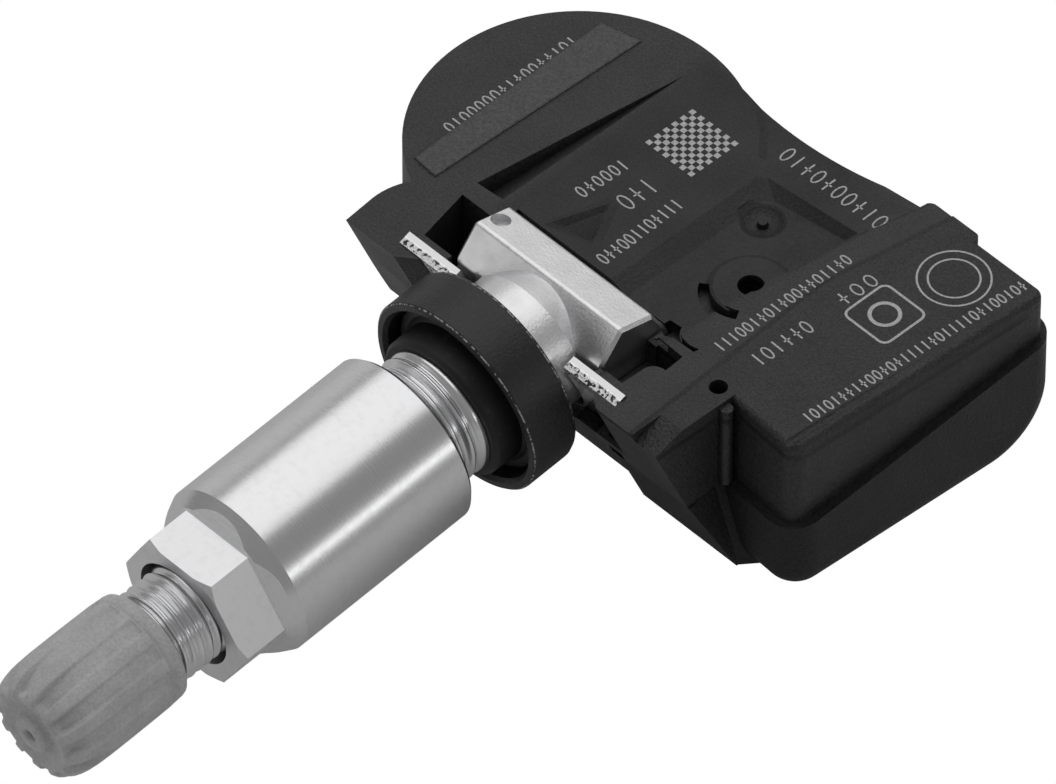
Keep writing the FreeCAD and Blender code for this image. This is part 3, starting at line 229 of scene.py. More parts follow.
def plastic_grain(finish, coarse):
    """Grain in millimetres of height; coarse runs from 0 to 1."""
    return finish.noise(4.5, detail=1) * (coarse * 0.06 + 0.045) + finish.noise(2.2, detail=2) * 0.02


housing_finish = Finish("housing_plastic", HOUSING_GREY, roughness=0.5, specular=0.5)
top_face = housing_finish.part((0, 0, 1)).smooth(2.6, 3.1)
block, band = top_face, top_face
for line in BLOCK_LINES:
    block = block * housing_finish.beside(*line, SOFT_EDGE)
for line in BAND_LINES:
    band = band * housing_finish.beside(*line, SOFT_EDGE)
pad = housing_finish.inside(PAD_CORNERS, 0.3) * top_face
deck = housing_finish.inside(DECK_CORNERS, 1.5) * top_face
leaf = housing_finish.inside(LEAF_CORNERS, 0.9) * top_face
port_x = housing_finish.part((1, 0, 0), origin=(PORT_CENTRE[0] * MM, 0, 0))
port_y = housing_finish.part((0, 1, 0), origin=(0, PORT_CENTRE[1] * MM, 0))
port_r = (port_x * port_x + port_y * port_y).root()
port_ring = (1 - port_r.smooth(PORT_RING_R - 0.25, PORT_RING_R + 0.3)) * top_face
valley = housing_finish.beside((-8.9, 31.5), (-8.2, 12.5), 1.3) * top_face
rise = (block * 0.26 + band * (1 - port_ring) * 0.20 + port_ring * 0.25
        + pad * 0.1 - leaf * 0.25 + valley * 0.22)
housing_finish.bump(plastic_grain(housing_finish, block + pad) + rise)
cloud = housing_finish.noise(0.25, detail=3).smooth(0.3, 0.7)
fibre = housing_finish.specks(2.6).smooth(0.13, 0.04)
mottle = housing_finish.noise(5.5, detail=2).smooth(0.34, 0.66)
# Painted shade: the deck between the long groove and the band is painted darker, and the small wedge recess a
# little darker, for the shade that falls there.
shade = housing_finish.tint(deck * 0.8 + leaf * 0.2, (0.012, 0.012, 0.012))
shade = housing_finish.tint(pad * 0.95, (0.090, 0.090, 0.090), base=shade)
shade = housing_finish.tint((mottle * -1 + 1) * (pad * -0.35 + 0.85), (0, 0, 0), base=shade)
shade = housing_finish.tint(fibre * 0.4, (0.10, 0.10, 0.10), base=shade)
housing_finish.paint(shade)
housing_finish.rough(cloud * 0.10 + deck * 0.06 + block * 0.04 + 0.44)
paint_node("upper_housing", housing_finish)

# Painted shade: the lower cover is the housing's plastic given a much darker colour, for the shade on the
# tub, which faces down.
cover_finish = Finish("cover_plastic", COVER_SHADED_GREY, roughness=0.5, specular=0.35)
cover_finish.bump(plastic_grain(cover_finish, 0))
cover_finish.rough(cover_finish.noise(0.25, detail=3) * 0.2 + 0.42)
cover_fibre = cover_finish.specks(2.6).smooth(0.12, 0.04) * 0.4
cover_mottle = cover_finish.noise(4.5, detail=2).smooth(0.34, 0.66) * 0.12
cover_finish.paint(cover_finish.tint(cover_fibre + cover_mottle, (0.08, 0.08, 0.08)))
paint_node("lower_cover", cover_finish)

# %% [markdown]
# The valve stem is a satin light-alloy casting whose threads are cut afterwards. The nut is turned bar: its
# sleeve shows fine rings round its axis, which a height field that only varies along the axis gives. Its
# hexagon is milled, so there the same field runs across the axis and is a little coarser.


# %% Metals
def cast_alloy(name):
    finish = Finish(name, (0.84, 0.84, 0.85), roughness=0.4, metallic=1.0)
    along = finish.part(INWARD)
    cast = along.smooth(1.5, 2.0)
    grain = finish.noise(4.5, detail=2)
    blotch = finish.noise(0.6, detail=2)
    finish.rough(cast * 0.14 + blotch * 0.10 + 0.20)
    finish.paint(finish.tint(blotch.smooth(0.35, 0.75), (0.76, 0.76, 0.77)))
    finish.bump(grain * (cast * 0.02 + 0.004))
    return finish


def turned_alloy(name, hexagon_end):
    finish = Finish(name, (0.79, 0.79, 0.80), roughness=0.24, metallic=1.0)
    along = finish.part(INWARD)
    milled = 1 - along.smooth(hexagon_end - 0.1, hexagon_end + 0.1)
    rings = finish.node("ShaderNodeTexNoise", {"noise_dimensions": "1D"}, {"W": along * 5.0, "Detail": 4.0})
    grain = finish.noise(4.0, detail=4)
    worn = finish.noise(1.6, detail=4)
    lines = rings * (1 - milled) + grain * milled
    finish.rough(lines * 0.16 + worn * 0.05 + milled * 0.10 + 0.14)
    finish.paint(finish.tint(worn.smooth(0.5, 0.8) * 0.6, (0.70, 0.70, 0.71)))
    finish.bump(lines, 0.004)
    return finish


stem_finish = cast_alloy("valve_metal")
HEXAGON_END = -23.1
nut_finish = turned_alloy("nut_metal", HEXAGON_END)
paint_node("valve_nut", nut_finish)

# %% [markdown]
# The rest of the visible pieces: a grey matt cap, smooth black rubber, a black coated steel cup whose front
# edge is rubbed bright, and a stamped plate whose sheared ends show a smooth band and a torn band.

# %% Cap, rubber, cup and plate
cap_finish = Finish("cap_plastic", (0.60, 0.60, 0.60), roughness=0.5, specular=0.4)
cap_grain = cap_finish.noise(4.5, detail=2)
cap_finish.bump(cap_grain, 0.05)
cap_finish.rough(cap_grain * 0.2 + 0.38)
cap_mottle = cap_finish.noise(4.5, detail=2).smooth(0.34, 0.66) * 0.35
cap_cloud = cap_finish.noise(0.5).smooth(0.35, 0.7) * 0.3
cap_finish.paint(cap_finish.tint(cap_mottle + cap_cloud, (0.36, 0.36, 0.36)))
paint_node("valve_cap", cap_finish)

rubber_finish = Finish("seal_rubber", (0.010, 0.010, 0.010), roughness=0.5, specular=0.4)
rubber_dust = rubber_finish.noise(2.0, detail=4)
rubber_finish.paint(rubber_finish.tint(rubber_dust.smooth(0.58, 0.8), (0.03, 0.03, 0.03)))
rubber_finish.bump(rubber_finish.noise(9.0), 0.004)
for rubber_node in ("rubber_grommet", "cap_seal", "core_gasket", "core_seat", "port_seal"):
    paint_node(rubber_node, rubber_finish)

RING_R = 8.2
RING_FRONT = -0.2
RING_BACK = 3.95
ring_finish = Finish("ring_coating", (0.012, 0.012, 0.012), roughness=0.42, specular=0.5)
ring_along = ring_finish.part(INWARD)
ring_side = ring_finish.part((1, 0, 0))
ring_up = ring_finish.part(tuple(TIPPED @ Vector((0, 0, 1))))
ring_out = (ring_side * ring_side + ring_up * ring_up).root()
ring_in = ring_out * -1 + RING_R
front_line = 1 - (ring_in - ring_along + RING_FRONT).absolute().smooth(0.03, 0.11)
back_line = 1 - (ring_in + ring_along - RING_BACK).absolute().smooth(0.05, 0.14)
edge_wear = (front_line + back_line * 0.7) * (1 - ring_in.smooth(0.2, 0.3))
scuff = ring_finish.noise(3.2, detail=4).smooth(0.47, 0.56)
ring_dust = ring_finish.noise(4.0, detail=3).smooth(0.60, 0.75)
ring_base = ring_finish.tint(ring_dust * 0.5, (0.06, 0.06, 0.06))
ring_finish.paint(ring_finish.tint(edge_wear * scuff, (0.50, 0.50, 0.50), base=ring_base))
ring_finish.bump(ring_finish.noise(4.5, detail=2), 0.04)
ring_finish.rough(ring_finish.noise(3.0, detail=2) * 0.16 + 0.34)
paint_node("support_ring", ring_finish)

plate_finish = Finish("plate_steel", (0.82, 0.82, 0.82), roughness=0.30, metallic=1.0)
plate_low, plate_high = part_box("retaining_plate")
torn = plate_finish.noise(3.2, detail=4)
torn_band = 1 - plate_finish.part((0, 1, 0)).smooth(plate_low.y / MM + 0.45, plate_low.y / MM + 0.6)
plate_finish.paint(plate_finish.tint(torn_band * torn.smooth(0.50, 0.56), (0.05, 0.05, 0.05)))
plate_finish.rough(torn_band * 0.25 + 0.25)
plate_finish.bump(torn * torn_band, 0.08)
paint_node("retaining_plate", plate_finish)

# %% [markdown]
# Inside, where nothing is seen while the housing is closed, each piece still gets its own plain finish.


# %% Inner pieces
def plain_finish(name, colour, roughness, metallic=0.0):
    finish = Finish(name, colour, roughness=roughness, metallic=metallic)
    finish.rough(finish.noise(2.0, detail=2) * 0.2 + (roughness - 0.1))
    return finish


INNER_FINISHES = (
    ("core_brass", (0.72, 0.52, 0.22), 0.35, 1.0, ("core_body", "core_pin")),
    ("spring_steel", (0.60, 0.60, 0.62), 0.30, 1.0, ("core_spring",)),
    ("board_laminate", (0.03, 0.16, 0.07), 0.45, 0.0, ("circuit_board",)),
    ("cell_steel", (0.66, 0.66, 0.67), 0.30, 1.0, ("battery_cell",)),
    ("nickel_strip", (0.62, 0.60, 0.56), 0.35, 1.0, ("battery_tab_lower", "battery_tab_upper")),
    ("chip_plastic", (0.03, 0.03, 0.03), 0.50, 0.0, ("sensor_chip", "transmitter_chip")),
    ("crystal_can", (0.72, 0.72, 0.73), 0.22, 1.0, ("crystal",)),
    ("capacitor_ceramic", (0.45, 0.34, 0.22), 0.55, 0.0, ("capacitors",)),
    ("ferrite", (0.07, 0.07, 0.08), 0.60, 0.0, ("coil_core",)),
    ("copper_winding", (0.70, 0.32, 0.14), 0.35, 1.0, ("coil_winding",)),
    ("antenna_brass", (0.72, 0.58, 0.28), 0.35, 1.0, ("rf_antenna",)),
)
for inner_name, inner_colour, inner_rough, inner_metal, inner_nodes in INNER_FINISHES:
    inner = plain_finish(inner_name, inner_colour, inner_rough, inner_metal)
    for inner_node in inner_nodes:
        paint_node(inner_node, inner)
print(len(INNER_FINISHES), "inner finishes")

# %% [markdown]
# Thread turns are too fine for the solids, where each threaded length is a plain cylinder. Here that
# cylinder's faces are taken out of a copy of the stem, and a tube of the same two end rings goes in, whose
# radius follows the thread's form: one helical groove that fades in and out at the ends.


# %% Cut threads
THREAD_ROWS_PER_TURN = 10
CAP_THREAD = {"radius": 3.86, "pitch": 0.794, "depth": 0.40, "fade_low": 0.3, "fade_high": 1.0}
RIM_THREAD = {"radius": 5.15, "pitch": 1.05, "depth": 0.42, "fade_low": 0.3, "fade_high": 1.0}


def groove(phase):
    """Depth of the groove, 0 to 1, over one turn: flat crest, straight flanks, narrow root."""
    return min(1.0, max(0.0, 1.35 * (1 - abs(2 * phase - 1)) - 0.2))


def threaded_stretch(mesh, thread):
    """Swaps the longest plain cylinder of the thread's radius for a grooved tube."""
    radius = thread["radius"] * MM
    close = 0.004 * MM
    on_wall = {v for v in mesh.verts if abs(math.hypot(v.co.x, v.co.z) - radius) < close}
    wall = [f for f in mesh.faces if all(v in on_wall for v in f.verts)]
    low = min(v.co.y for f in wall for v in f.verts)
    high = max(v.co.y for f in wall for v in f.verts)
    bmesh.ops.delete(mesh, geom=wall, context="FACES")
    rings = []
    for station in (low, high):
        ring = [v for v in on_wall if v.is_valid and abs(v.co.y - station) < close]
        ring.sort(key=lambda v: math.atan2(v.co.z, v.co.x))
        rings.append(ring)
    angles = [math.atan2(v.co.z, v.co.x) for v in rings[0]]
    rows = [rings[0]]
    steps = int((high - low) / (thread["pitch"] * MM) * THREAD_ROWS_PER_TURN)
    for step in range(1, steps):
        station = low + (high - low) * step / steps
        fade = min(1, (station - low) / MM / thread["fade_low"], (high - station) / MM / thread["fade_high"])
        row = []
        for angle in angles:
            phase = (station / MM / thread["pitch"] - angle / (2 * math.pi)) % 1
            r = radius - thread["depth"] * MM * groove(phase) * max(0, fade)
            row.append(mesh.verts.new((r * math.cos(angle), station, r * math.sin(angle))))
        rows.append(row)
    rows.append(rings[1])
    for lower, upper in zip(rows, rows[1:]):
        count = min(len(lower), len(upper))
        for at in range(count):
            after = (at + 1) % count
            face = mesh.faces.new((lower[at], upper[at], upper[after], lower[after]))
            face.smooth = True
    return (high - low) / MM


def keep_normals(mesh, plain):
    """Notes the solid model's own corner normals, which merging its points would lose."""
    noted = mesh.loops.layers.float_vector.new("noted_normal")
    for face, polygon in zip(mesh.faces, plain.polygons):
        for loop, at in zip(face.loops, polygon.loop_indices):
            loop[noted] = plain.corner_normals[at].vector


def give_normals(data):
    """Puts the noted normals back; corners of new faces hold none and get Blender's own."""
    normals = [corner.vector.copy() for corner in data.attributes["noted_normal"].data]
    for name in ("noted_normal", "custom_normal"):
        if name in data.attributes:
            data.attributes.remove(data.attributes[name])
    data.normals_split_custom_set(normals)
    return sum(normal.length > 0.5 for normal in normals)


def threaded_stem():
    source = frame["nodes"]["valve_stem"]
    mesh = bmesh.new()
    mesh.from_mesh(source.data)
    keep_normals(mesh, source.data)
    bmesh.ops.remove_doubles(mesh, verts=mesh.verts, dist=0.001 * MM)
    mesh.transform(UPRIGHT)
    for thread in (CAP_THREAD, RIM_THREAD):
        print("thread cut over", round(threaded_stretch(mesh, thread), 1), "mm")
    mesh.transform(TIPPED)
    bmesh.ops.recalc_face_normals(mesh, faces=mesh.faces)
    data = bpy.data.meshes.new("valve_stem_threaded")
    mesh.to_mesh(data)
    mesh.free()
    stem = bpy.data.objects.new("valve_stem_threaded", data)
    bpy.context.scene.collection.objects.link(stem)
    data.materials.append(stem_finish.material)
    print("corners with their own normal", give_normals(data), "of", len(data.loops))
    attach(stem, "valve")
    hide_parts("valve_stem")


threaded_stem()

# %% [markdown]
# The valve cap is moulded with twelve ribs. Between them run shallow flutes that sink into deep scoops at
# the closed end, and a hollow knob, the trace of the mould's gate, stands in the dished end. The piece is
# one grid: a profile turned round the axis, whose points sink along the profile's own normal wherever a
# flute passes.

# %% Fluted cap
CAP_END = -42.25
CAP_FLUTES = 12
COLUMNS_PER_FLUTE = 24
CAP_OUTSIDE = (
    (1.15, 0.0), (1.15, 0.42), (0.42, 0.46), (0.20, 0.58), (0.12, 0.80), (0.12, 1.10), (0.19, 1.36),
    (0.34, 1.52), (0.60, 1.60), (0.84, 1.70), (0.94, 1.92), (0.92, 2.20), (0.80, 2.50), (0.62, 2.78),
    (0.48, 3.02), (0.40, 3.26), (0.38, 3.46), (0.44, 3.68), (0.60, 3.88), (0.84, 4.06), (1.14, 4.22),
    (1.58, 4.37), (2.20, 4.50), (3.00, 4.58), (4.20, 4.62), (5.20, 4.62), (6.40, 4.62), (7.60, 4.61),
    (8.80, 4.60), (9.95, 4.58), (10.10, 4.57), (10.20, 4.48), (10.28, 4.48), (10.38, 4.55), (10.80, 4.52),
    (11.10, 4.50), (11.34, 4.44), (11.48, 4.28),
)
CAP_INSIDE = (
    (11.50, 4.12), (11.10, 3.95), (3.15, 3.95), (2.75, 3.55), (2.65, 3.50), (1.86, 3.50), (1.85, 0.0),
)
SCOOP_DEEP = 0.74
SCOOP_TOP = 1.2
SCOOP_RUN = 3.4
SCOOP_FOOT_R = 3.05
SCOOP_FOOT_RUN = 1.1
FLUTE_DEEP = 0.12
FLUTE_END = 10.1
FLUTE_HALF = 0.22
RIB_RAMP = 0.09


def flute_depth(station, radius, phase):
    """How far the surface sinks at a profile point; phase runs from -0.5 to 0.5 across one flute."""
    if radius < SCOOP_FOOT_R or station > FLUTE_END:
        return 0.0
    across = 1 - min(1.0, max(0.0, (abs(phase) - FLUTE_HALF) / RIB_RAMP))
    across = across * across * (3 - 2 * across)
    if station < SCOOP_TOP:
        along = min(1.0, (radius - SCOOP_FOOT_R) / SCOOP_FOOT_RUN)
        deep = SCOOP_DEEP * along * along * (3 - 2 * along)
    else:
        along = max(0.0, 1 - (station - SCOOP_TOP) / SCOOP_RUN)
        deep = FLUTE_DEEP + (SCOOP_DEEP - FLUTE_DEEP) * along ** 1.2
    ends = min(1.0, max(0.0, (FLUTE_END - station) / 0.15))
    return deep * across * ends


def fluted_cap():
    mesh = bmesh.new()
    columns = CAP_FLUTES * COLUMNS_PER_FLUTE
    profile = CAP_OUTSIDE + CAP_INSIDE
    rows = []
    for at, (station, radius) in enumerate(profile):
        if radius == 0:
            rows.append([mesh.verts.new((0, (CAP_END + station) * MM, 0))])
            continue
        before, after = profile[at - 1], profile[at + 1]
        along = Vector((after[0] - before[0], after[1] - before[1])).normalized()
        row = []
        for column in range(columns):
            turn = 2 * math.pi * column / columns
            phase = (column / COLUMNS_PER_FLUTE) % 1 - 0.5
            sink = flute_depth(station, radius, phase) if at < len(CAP_OUTSIDE) else 0.0
            s, r = station + along.y * sink, radius - along.x * sink
            row.append(mesh.verts.new((r * MM * math.cos(turn), (CAP_END + s) * MM, r * MM * math.sin(turn))))
        rows.append(row)
    for lower, upper in zip(rows, rows[1:]):
        for column in range(columns):
            after = (column + 1) % columns
            corners = [lower[column % len(lower)], upper[column % len(upper)], upper[after % len(upper)],
                       lower[after % len(lower)]]
            face = mesh.faces.new(list(dict.fromkeys(corners)))
            face.smooth = True
    mesh.transform(TIPPED)
    bmesh.ops.recalc_face_normals(mesh, faces=mesh.faces)
    data = bpy.data.meshes.new("valve_cap_fluted")
    mesh.to_mesh(data)
    mesh.free()
    cap = bpy.data.objects.new("valve_cap_fluted", data)
    bpy.context.scene.collection.objects.link(cap)
    data.materials.append(cap_finish.material)
    data.set_sharp_from_angle(angle=math.radians(50))
    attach(cap, "cap")
    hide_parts("valve_cap")
    print("fluted cap", len(data.polygons), "faces")


fluted_cap()

# %% [markdown]
# Laser marks are a thin pale burn on the dark plastic. The burn takes unevenly, so a noise mixes a darker
# grey into it. The signs have one stroke width and one thickness, and share this finish.

# %% Laser mark finish
mark_finish = Finish("laser_mark", (0.58, 0.58, 0.58), roughness=0.7, specular=0.3)
mark_wear = mark_finish.noise(6.0, detail=3)
mark_finish.paint(mark_finish.tint(mark_wear.smooth(0.45, 0.7), (0.38, 0.38, 0.38)))
MARK_STROKE = 0.14
MARK_THICKNESS = 0.02
MARK_INPUTS = (
    ("Start", "Vector"), ("Step", "Vector"), ("Count", "Int"), ("Size", "Vector"), ("Turn", "Vector"),
    ("Seed", "Int"), ("Finish", "Material"),
)


# %% [markdown]
# The marks' places are filled with rows of plain signs: ovals, bars and crosses. One Geometry Nodes tree
# makes any such row: points along a line, on each of them one of the three signs, picked from a fixed seed.
# It ends by turning the copies into a real mesh and giving it the finish. Its inputs carry names, so a row
# only states its numbers, and each row is then kept as a plain mesh.


# %% Row of marks, as a Geometry Nodes tree
class Nodes:
    """Adds nodes to a geometry tree and links them by the names of their inputs."""

    def __init__(self, name, inputs):
        self.tree = bpy.data.node_groups.new(name, "GeometryNodeTree")
        face = self.tree.interface
        face.new_socket("Geometry", in_out="OUTPUT", socket_type="NodeSocketGeometry")
        for title, kind in inputs:
            face.new_socket(title, in_out="INPUT", socket_type="NodeSocket" + kind)
        self.given = self.tree.nodes.new("NodeGroupInput").outputs
        self.result = self.tree.nodes.new("NodeGroupOutput").inputs

    def add(self, kind, values, settings=None):
        node = self.tree.nodes.new(kind)
        for key, value in (settings or {}).items():
            setattr(node, key, value)
        for key, value in values.items():
            for one in value if isinstance(value, list) else [value]:
                if isinstance(one, bpy.types.NodeSocket):
                    self.tree.links.new(one, node.inputs[key])
                else:
                    node.inputs[key].default_value = one
        return node.outputs


def mark_row_tree():
    nodes = Nodes("mark_row", MARK_INPUTS)
    add, given = nodes.add, nodes.given
    stroke, thick = MARK_STROKE * MM, MARK_THICKNESS * MM
    ring = add("GeometryNodeCurvePrimitiveCircle", {"Resolution": 14, "Radius": 0.5})[0]
    oval = add("GeometryNodeTransform", {"Geometry": ring, "Scale": given["Size"]})[0]
    pen = add("GeometryNodeCurvePrimitiveQuadrilateral", {"Width": stroke, "Height": thick})[0]
    oval = add("GeometryNodeCurveToMesh", {"Curve": oval, "Profile Curve": pen})[0]
    size = add("ShaderNodeSeparateXYZ", {"Vector": given["Size"]})
    tall = add("ShaderNodeCombineXYZ", {"X": stroke, "Y": size["Y"], "Z": thick})[0]
    wide = add("ShaderNodeCombineXYZ", {"X": size["X"], "Y": stroke, "Z": thick})[0]
    bar = add("GeometryNodeMeshCube", {"Size": tall})[0]
    arm = add("GeometryNodeMeshCube", {"Size": wide})[0]
    cross = add("GeometryNodeJoinGeometry", {"Geometry": [bar, arm]})[0]
    signs = add("GeometryNodeGeometryToInstance", {"Geometry": [oval, bar, cross]})[0]
    line = add("GeometryNodeMeshLine", {"Count": given["Count"], "Start Location": given["Start"],
                                        "Offset": given["Step"]}, {"mode": "OFFSET"})[0]
    pick = add("FunctionNodeRandomValue", {4: 0, 5: 2, "Seed": given["Seed"]}, {"data_type": "INT"})[2]
    turn = add("FunctionNodeEulerToRotation", {"Euler": given["Turn"]})[0]
    row = add("GeometryNodeInstanceOnPoints", {"Points": line, "Instance": signs, "Pick Instance": True,
                                               "Instance Index": pick, "Rotation": turn})[0]
    solid = add("GeometryNodeRealizeInstances", {"Geometry": row})[0]
    coloured = add("GeometryNodeSetMaterial", {"Geometry": solid, "Material": given["Finish"]})[0]
    nodes.tree.links.new(coloured, nodes.result["Geometry"])
    return nodes.tree


MARK_TREE = mark_row_tree()


def mark_row(name, start, end, z, tall, pitch, seed):
    """A row of signs from start to end, in millimetres; each stands across the row's own direction."""
    run = Vector((end[0] - start[0], end[1] - start[1], 0))
    count = max(2, round(run.length / pitch)) + 1
    holder = bpy.data.objects.new(name, bpy.data.meshes.new(name))
    bpy.context.scene.collection.objects.link(holder)
    modifier = holder.modifiers.new("row", "NODES")
    modifier.node_group = MARK_TREE
    values = {
        "Start": [start[0] * MM, start[1] * MM, z * MM], "Step": list(run / (count - 1) * MM), "Count": count,
        "Size": [pitch * 0.62 * MM, tall * MM, MM], "Turn": [0, 0, math.atan2(run.y, run.x)], "Seed": seed,
        "Finish": mark_finish.material,
    }
    for item in MARK_TREE.interface.items_tree:
        if item.name in values:
            modifier[item.identifier] = values[item.name]
    bpy.context.view_layer.update()
    shown = holder.evaluated_get(bpy.context.evaluated_depsgraph_get())
    plain = bpy.data.meshes.new_from_object(shown)
    holder.modifiers.clear()
    holder.data = plain
    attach(holder, "housing")
    return len(plain.polygons)


# %% [markdown]
# Each row is given by its two ends, the height of the face that it lies on, the size of its signs and the
# step between them. A row's place in the list is its seed, so each row gets signs of its own, the same on
# every run.

# %% Place the marks
DECK_Z = 3.8
WAIST_Z = 3.6
BAND_Z = 4.0
BLOCK_Z = 4.15
MARK_ROWS = (
    ("mark_cradle", (0.1, 14.4), (-0.1, 22.0), DECK_Z, 1.1, 0.70),
    ("mark_short", (-2.8, 19.5), (-2.8, 21.8), DECK_Z, 1.6, 1.10),
    ("mark_groove", (-5.75, 17.9), (-5.6, 21.9), DECK_Z, 1.1, 0.75),
    ("mark_waist", (1.8, 31.35), (11.2, 31.45), WAIST_Z, 1.4, 1.02),
    ("mark_edge", (12.2, 14.3), (12.4, 26.8), BAND_Z, 1.0, 0.70),
    ("mark_block_low", (15.1, 15.3), (15.25, 20.0), BLOCK_Z, 1.25, 0.90),
    ("mark_block_high", (15.1, 23.9), (15.2, 26.5), BLOCK_Z, 1.2, 1.15),
    ("mark_rim", (21.6, 13.9), (23.1, 34.0), BLOCK_Z, 0.95, 0.66),
    ("mark_pad", (-16.98, 15.5), (-17.05, 27.9), DECK_Z, 1.0, 0.78),
)
mark_faces = 0
for row_seed, (row_name, row_start, row_end, row_z, row_tall, row_pitch) in enumerate(MARK_ROWS):
    mark_faces += mark_row(row_name, row_start, row_end, row_z, row_tall, row_pitch, row_seed)
print(len(MARK_ROWS), "rows of marks,", mark_faces, "faces")

# %% [markdown]
# Three larger plain figures fill the places of the bigger laser marks: a chequered square, a pair of rings
# and a frame round a ring. They are thin flat strips; neighbouring strips share the corner points between
# them, so the outline keeps one width all round.


# %% Outline figures
def strip_faces(points, width):
    """Quads of one closed outline, mitred at its corners, in millimetres."""
    rims = ([], [])
    for at, point in enumerate(points):
        here = Vector(point)
        back = (here - Vector(points[at - 1])).normalized()
        ahead = (Vector(points[(at + 1) % len(points)]) - here).normalized()
        across = Vector((-(back + ahead).y, (back + ahead).x)).normalized()
        reach = width / 2 / max(0.3, across.dot(Vector((-back.y, back.x))))
        rims[0].append(here - across * reach)
        rims[1].append(here + across * reach)
    outer, inner = rims
    count = len(points)
    return [(outer[i], outer[(i + 1) % count], inner[(i + 1) % count], inner[i]) for i in range(count)]


def figure(name, quads, z):
    """One flat mesh of the quads, a hair above the top face, with its faces up."""
    mesh = bmesh.new()
    for quad in quads:
        mesh.faces.new([mesh.verts.new((p[0] * MM, p[1] * MM, (z + MARK_THICKNESS / 2) * MM)) for p in quad])
    bmesh.ops.remove_doubles(mesh, verts=mesh.verts, dist=0.001 * MM)
    for quad in mesh.faces:
        if quad.normal.z < 0:
            quad.normal_flip()
    data = bpy.data.meshes.new(name)
    mesh.to_mesh(data)
    mesh.free()
    shape = bpy.data.objects.new(name, data)
    bpy.context.scene.collection.objects.link(shape)
    data.materials.append(mark_finish.material)
    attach(shape, "housing")
    return len(data.polygons)


def round_path(x, y, radius, points=40):
    turns = [2 * math.pi * at / points for at in range(points)]
    return [(x + radius * math.cos(turn), y + radius * math.sin(turn)) for turn in turns]


def square_path(x, y, half, corner):
    """A square with round corners."""
    reach = half - corner
    path = []
    for quarter, (i, j) in enumerate(((1, 1), (-1, 1), (-1, -1), (1, -1))):
        for step in range(5):
            turn = math.radians(90 * quarter + 22.5 * step)
            path.append((x + i * reach + corner * math.cos(turn), y + j * reach + corner * math.sin(turn)))
    return path


def chequer(x, y, half, cells):
    """Every second cell of a square field."""
    size = 2 * half / cells
    quads = []
    for row in range(cells):
        for column in range(cells):
            if (row + column) % 2 == 0:
                left, low = x - half + column * size, y - half + row * size
                quads.append(((left, low), (left + size, low), (left + size, low + size), (left, low + size)))
    return quads


RINGS_CENTRE = (19.2, 31.0)
FRAME_CENTRE = (18.25, 24.95)
rings = strip_faces(round_path(*RINGS_CENTRE, 2.7), 0.15) + strip_faces(round_path(*RINGS_CENTRE, 1.9), 0.15)
framed = strip_faces(square_path(*FRAME_CENTRE, 2.15, 0.6), 0.2)
framed += strip_faces(round_path(*FRAME_CENTRE, 1.1), 0.3)
print("faces of the figures", figure("mark_chequer", chequer(-3.7, 27.05, 2.4, 11), DECK_Z),
      figure("mark_rings", rings, BLOCK_Z), figure("mark_frame", framed, BLOCK_Z))

# %% [markdown]
# The studio's floor is a large pale plane. It lies so low that the valve clears it in every pose. Light
# Path tells a ray from the camera from all others: the camera sees plain white, and every other ray meets a
# matt surface that throws the lamps' light back at the part. The sky below is made with the same helper.


# %% Floor
FLOOR_DROP = 19.5 * MM
FLOOR_CLEARANCE = 0.0002
FLOOR_HALF = 1.2
FLOOR_COLOUR = (0.72, 0.72, 0.72, 1)


def white_to_camera(tree, lit, white, surface):
    """Gives rays from the camera the white shader, and all other rays the lit one."""
    path = tree.nodes.new("ShaderNodeLightPath")
    mix = tree.nodes.new("ShaderNodeMixShader")
    tree.links.new(path.outputs["Is Camera Ray"], mix.inputs["Fac"])
    tree.links.new(lit, mix.inputs[1])
    tree.links.new(white, mix.inputs[2])
    tree.links.new(mix.outputs[0], surface)


floor_mesh = bpy.data.meshes.new("floor")
floor_corners = [(x * FLOOR_HALF, y * FLOOR_HALF, 0) for x, y in ((-1, -1), (1, -1), (1, 1), (-1, 1))]
floor_mesh.from_pydata(floor_corners, [], [(0, 1, 2, 3)])
floor_mesh.transform(Matrix.Translation((0, 0, -FLOOR_DROP - FLOOR_CLEARANCE)))
floor = bpy.data.objects.new("floor", floor_mesh)
bpy.context.scene.collection.objects.link(floor)
floor_material = bpy.data.materials.new("floor_white")
floor_material.use_nodes = True
floor_nodes = floor_material.node_tree.nodes
floor_lit = floor_nodes["Principled BSDF"]
floor_lit.inputs["Base Color"].default_value = FLOOR_COLOUR
floor_lit.inputs["Roughness"].default_value = 0.8
floor_glow = floor_nodes.new("ShaderNodeEmission")
floor_glow.inputs["Strength"].default_value = 1.0
white_to_camera(floor_material.node_tree, floor_lit.outputs[0], floor_glow.outputs[0],
                floor_nodes["Material Output"].inputs["Surface"])
floor_mesh.materials.append(floor_material)
print("floor", round(FLOOR_DROP / MM, 1), "mm below the frame's origin")

# %% [markdown]
# Five soft panels light the part. A polished metal face mirrors one small piece of the studio, so each
# panel stands where a face of the valve looks: overhead for the sleeve's bright band, behind and in front
# for the cross bar, and a narrow one on the right for the streak along the sleeve. Each is given by its
# radiance, since that is what a mirror shows, whatever the panel's size. The sky is a dim even light, and
# white to the camera.


# %% Lamps and surroundings
def lamp(name, place, aim, size, radiance):
    """A soft panel whose brightness is given, so it looks the same in a mirror at any size."""
    data = bpy.data.lights.new(name, "AREA")
    data.shape = "RECTANGLE"
    data.size, data.size_y = size
    data.energy = radiance * math.pi * size[0] * size[1]
    light = bpy.data.objects.new(name, data)
    light.location = place
    light.rotation_euler = (Vector(place) - Vector(aim)).to_track_quat("Z", "Y").to_euler()
    bpy.context.scene.collection.objects.link(light)
    print(name, "panel", round(data.energy, 2), "W")


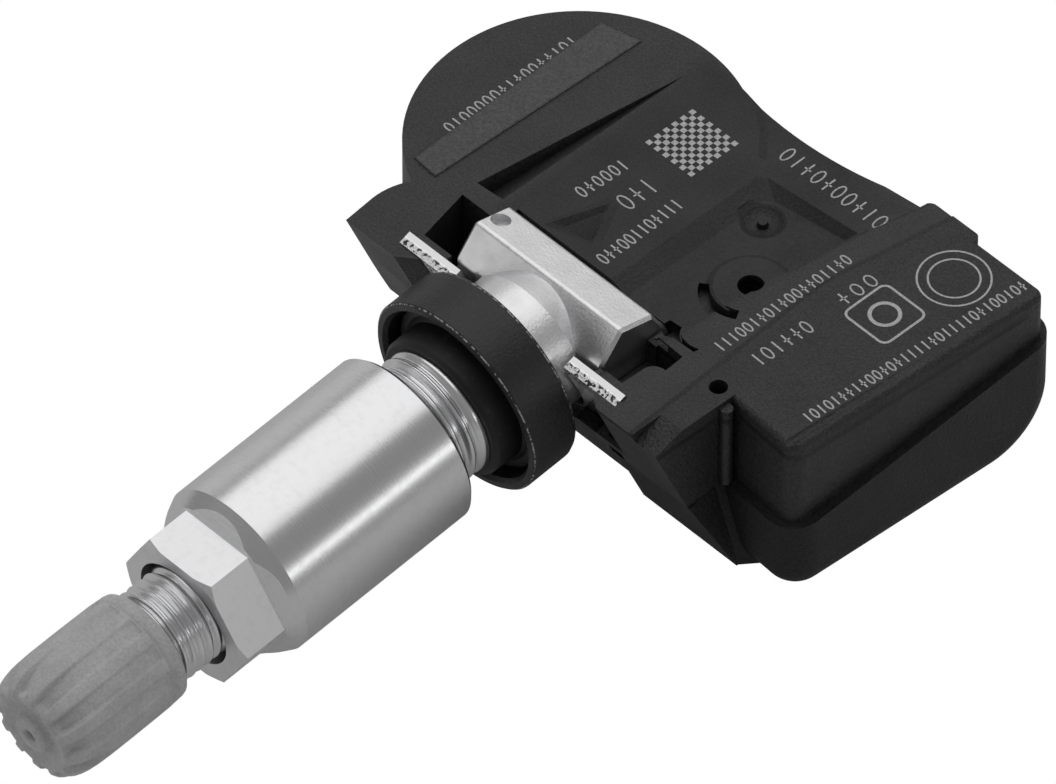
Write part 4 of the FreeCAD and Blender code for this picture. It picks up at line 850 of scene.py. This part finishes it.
lamp("overhead", (-0.21, 0.25, 0.50), (-0.21, 0.25, 0.0), (0.80, 0.78), 0.80)
lamp("left_back", (-0.53, 0.25, 0.13), (0, 0, 0), (0.45, 0.30), 0.28)
lamp("back", (-0.30, 0.62, 0.32), (0, 0, 0), (0.70, 0.32), 0.36)
lamp("front_left", (-0.31, -0.52, 0.22), (0, 0, 0), (0.45, 0.28), 0.60)
lamp("streak", (0.53, 0.225, 0.165), (0, 0, 0), (0.5, 0.085), 1.6)

SKY_LIGHT = 0.25
world = bpy.data.worlds.new("studio")
bpy.context.scene.world = world
world.use_nodes = True
sky = world.node_tree.nodes
soft = sky["Background"]
seen = sky.new("ShaderNodeBackground")
for background, strength in ((soft, SKY_LIGHT), (seen, 1.0)):
    background.inputs["Color"].default_value = (1, 1, 1, 1)
    background.inputs["Strength"].default_value = strength
white_to_camera(world.node_tree, soft.outputs[0], seen.outputs[0], sky["World Output"].inputs["Surface"])

# %% [markdown]
# The camera looks down from the valve's right-hand side with a very long lens, so parallel edges stay
# parallel. Its direction was measured from three families of parallel edges. Its distance follows from the
# lens and from how many pixels a millimetre covers, and its aim from the pixel on which the frame's origin
# falls.

# %% Camera
CAMERA_AZIMUTH = math.radians(46.1)
CAMERA_ELEVATION = math.radians(47.2)
BACK = Vector((math.sin(CAMERA_AZIMUTH) * math.cos(CAMERA_ELEVATION),
               -math.cos(CAMERA_AZIMUTH) * math.cos(CAMERA_ELEVATION), math.sin(CAMERA_ELEVATION)))
RIGHT = Vector((math.cos(CAMERA_AZIMUTH), math.sin(CAMERA_AZIMUTH), 0))
UP = BACK.cross(RIGHT)
PIXELS_PER_MM = 13.96
PHOTO_WIDTH, PHOTO_HEIGHT = 1056, 784
ORIGIN_PIXEL = (457.2, 396.1)
LENS_MM, SENSOR_MM = 600, 36
across_view = PHOTO_WIDTH / PIXELS_PER_MM * MM
distance = across_view * LENS_MM / SENSOR_MM
aside = RIGHT * (PHOTO_WIDTH / 2 - ORIGIN_PIXEL[0])
above = UP * (ORIGIN_PIXEL[1] - PHOTO_HEIGHT / 2)
target = (aside + above) / PIXELS_PER_MM * MM
camera_data = bpy.data.cameras.new("camera")
camera_data.lens, camera_data.sensor_width = LENS_MM, SENSOR_MM
camera_data.clip_start, camera_data.clip_end = 0.05, 10
camera = bpy.data.objects.new("camera", camera_data)
camera.location = target + BACK * distance
camera.rotation_euler = Matrix((RIGHT, UP, BACK)).transposed().to_euler()
bpy.context.scene.collection.objects.link(camera)
bpy.context.scene.camera = camera
bpy.context.scene.view_settings.view_transform = "Standard"
print("camera", round(distance, 3), "m away")
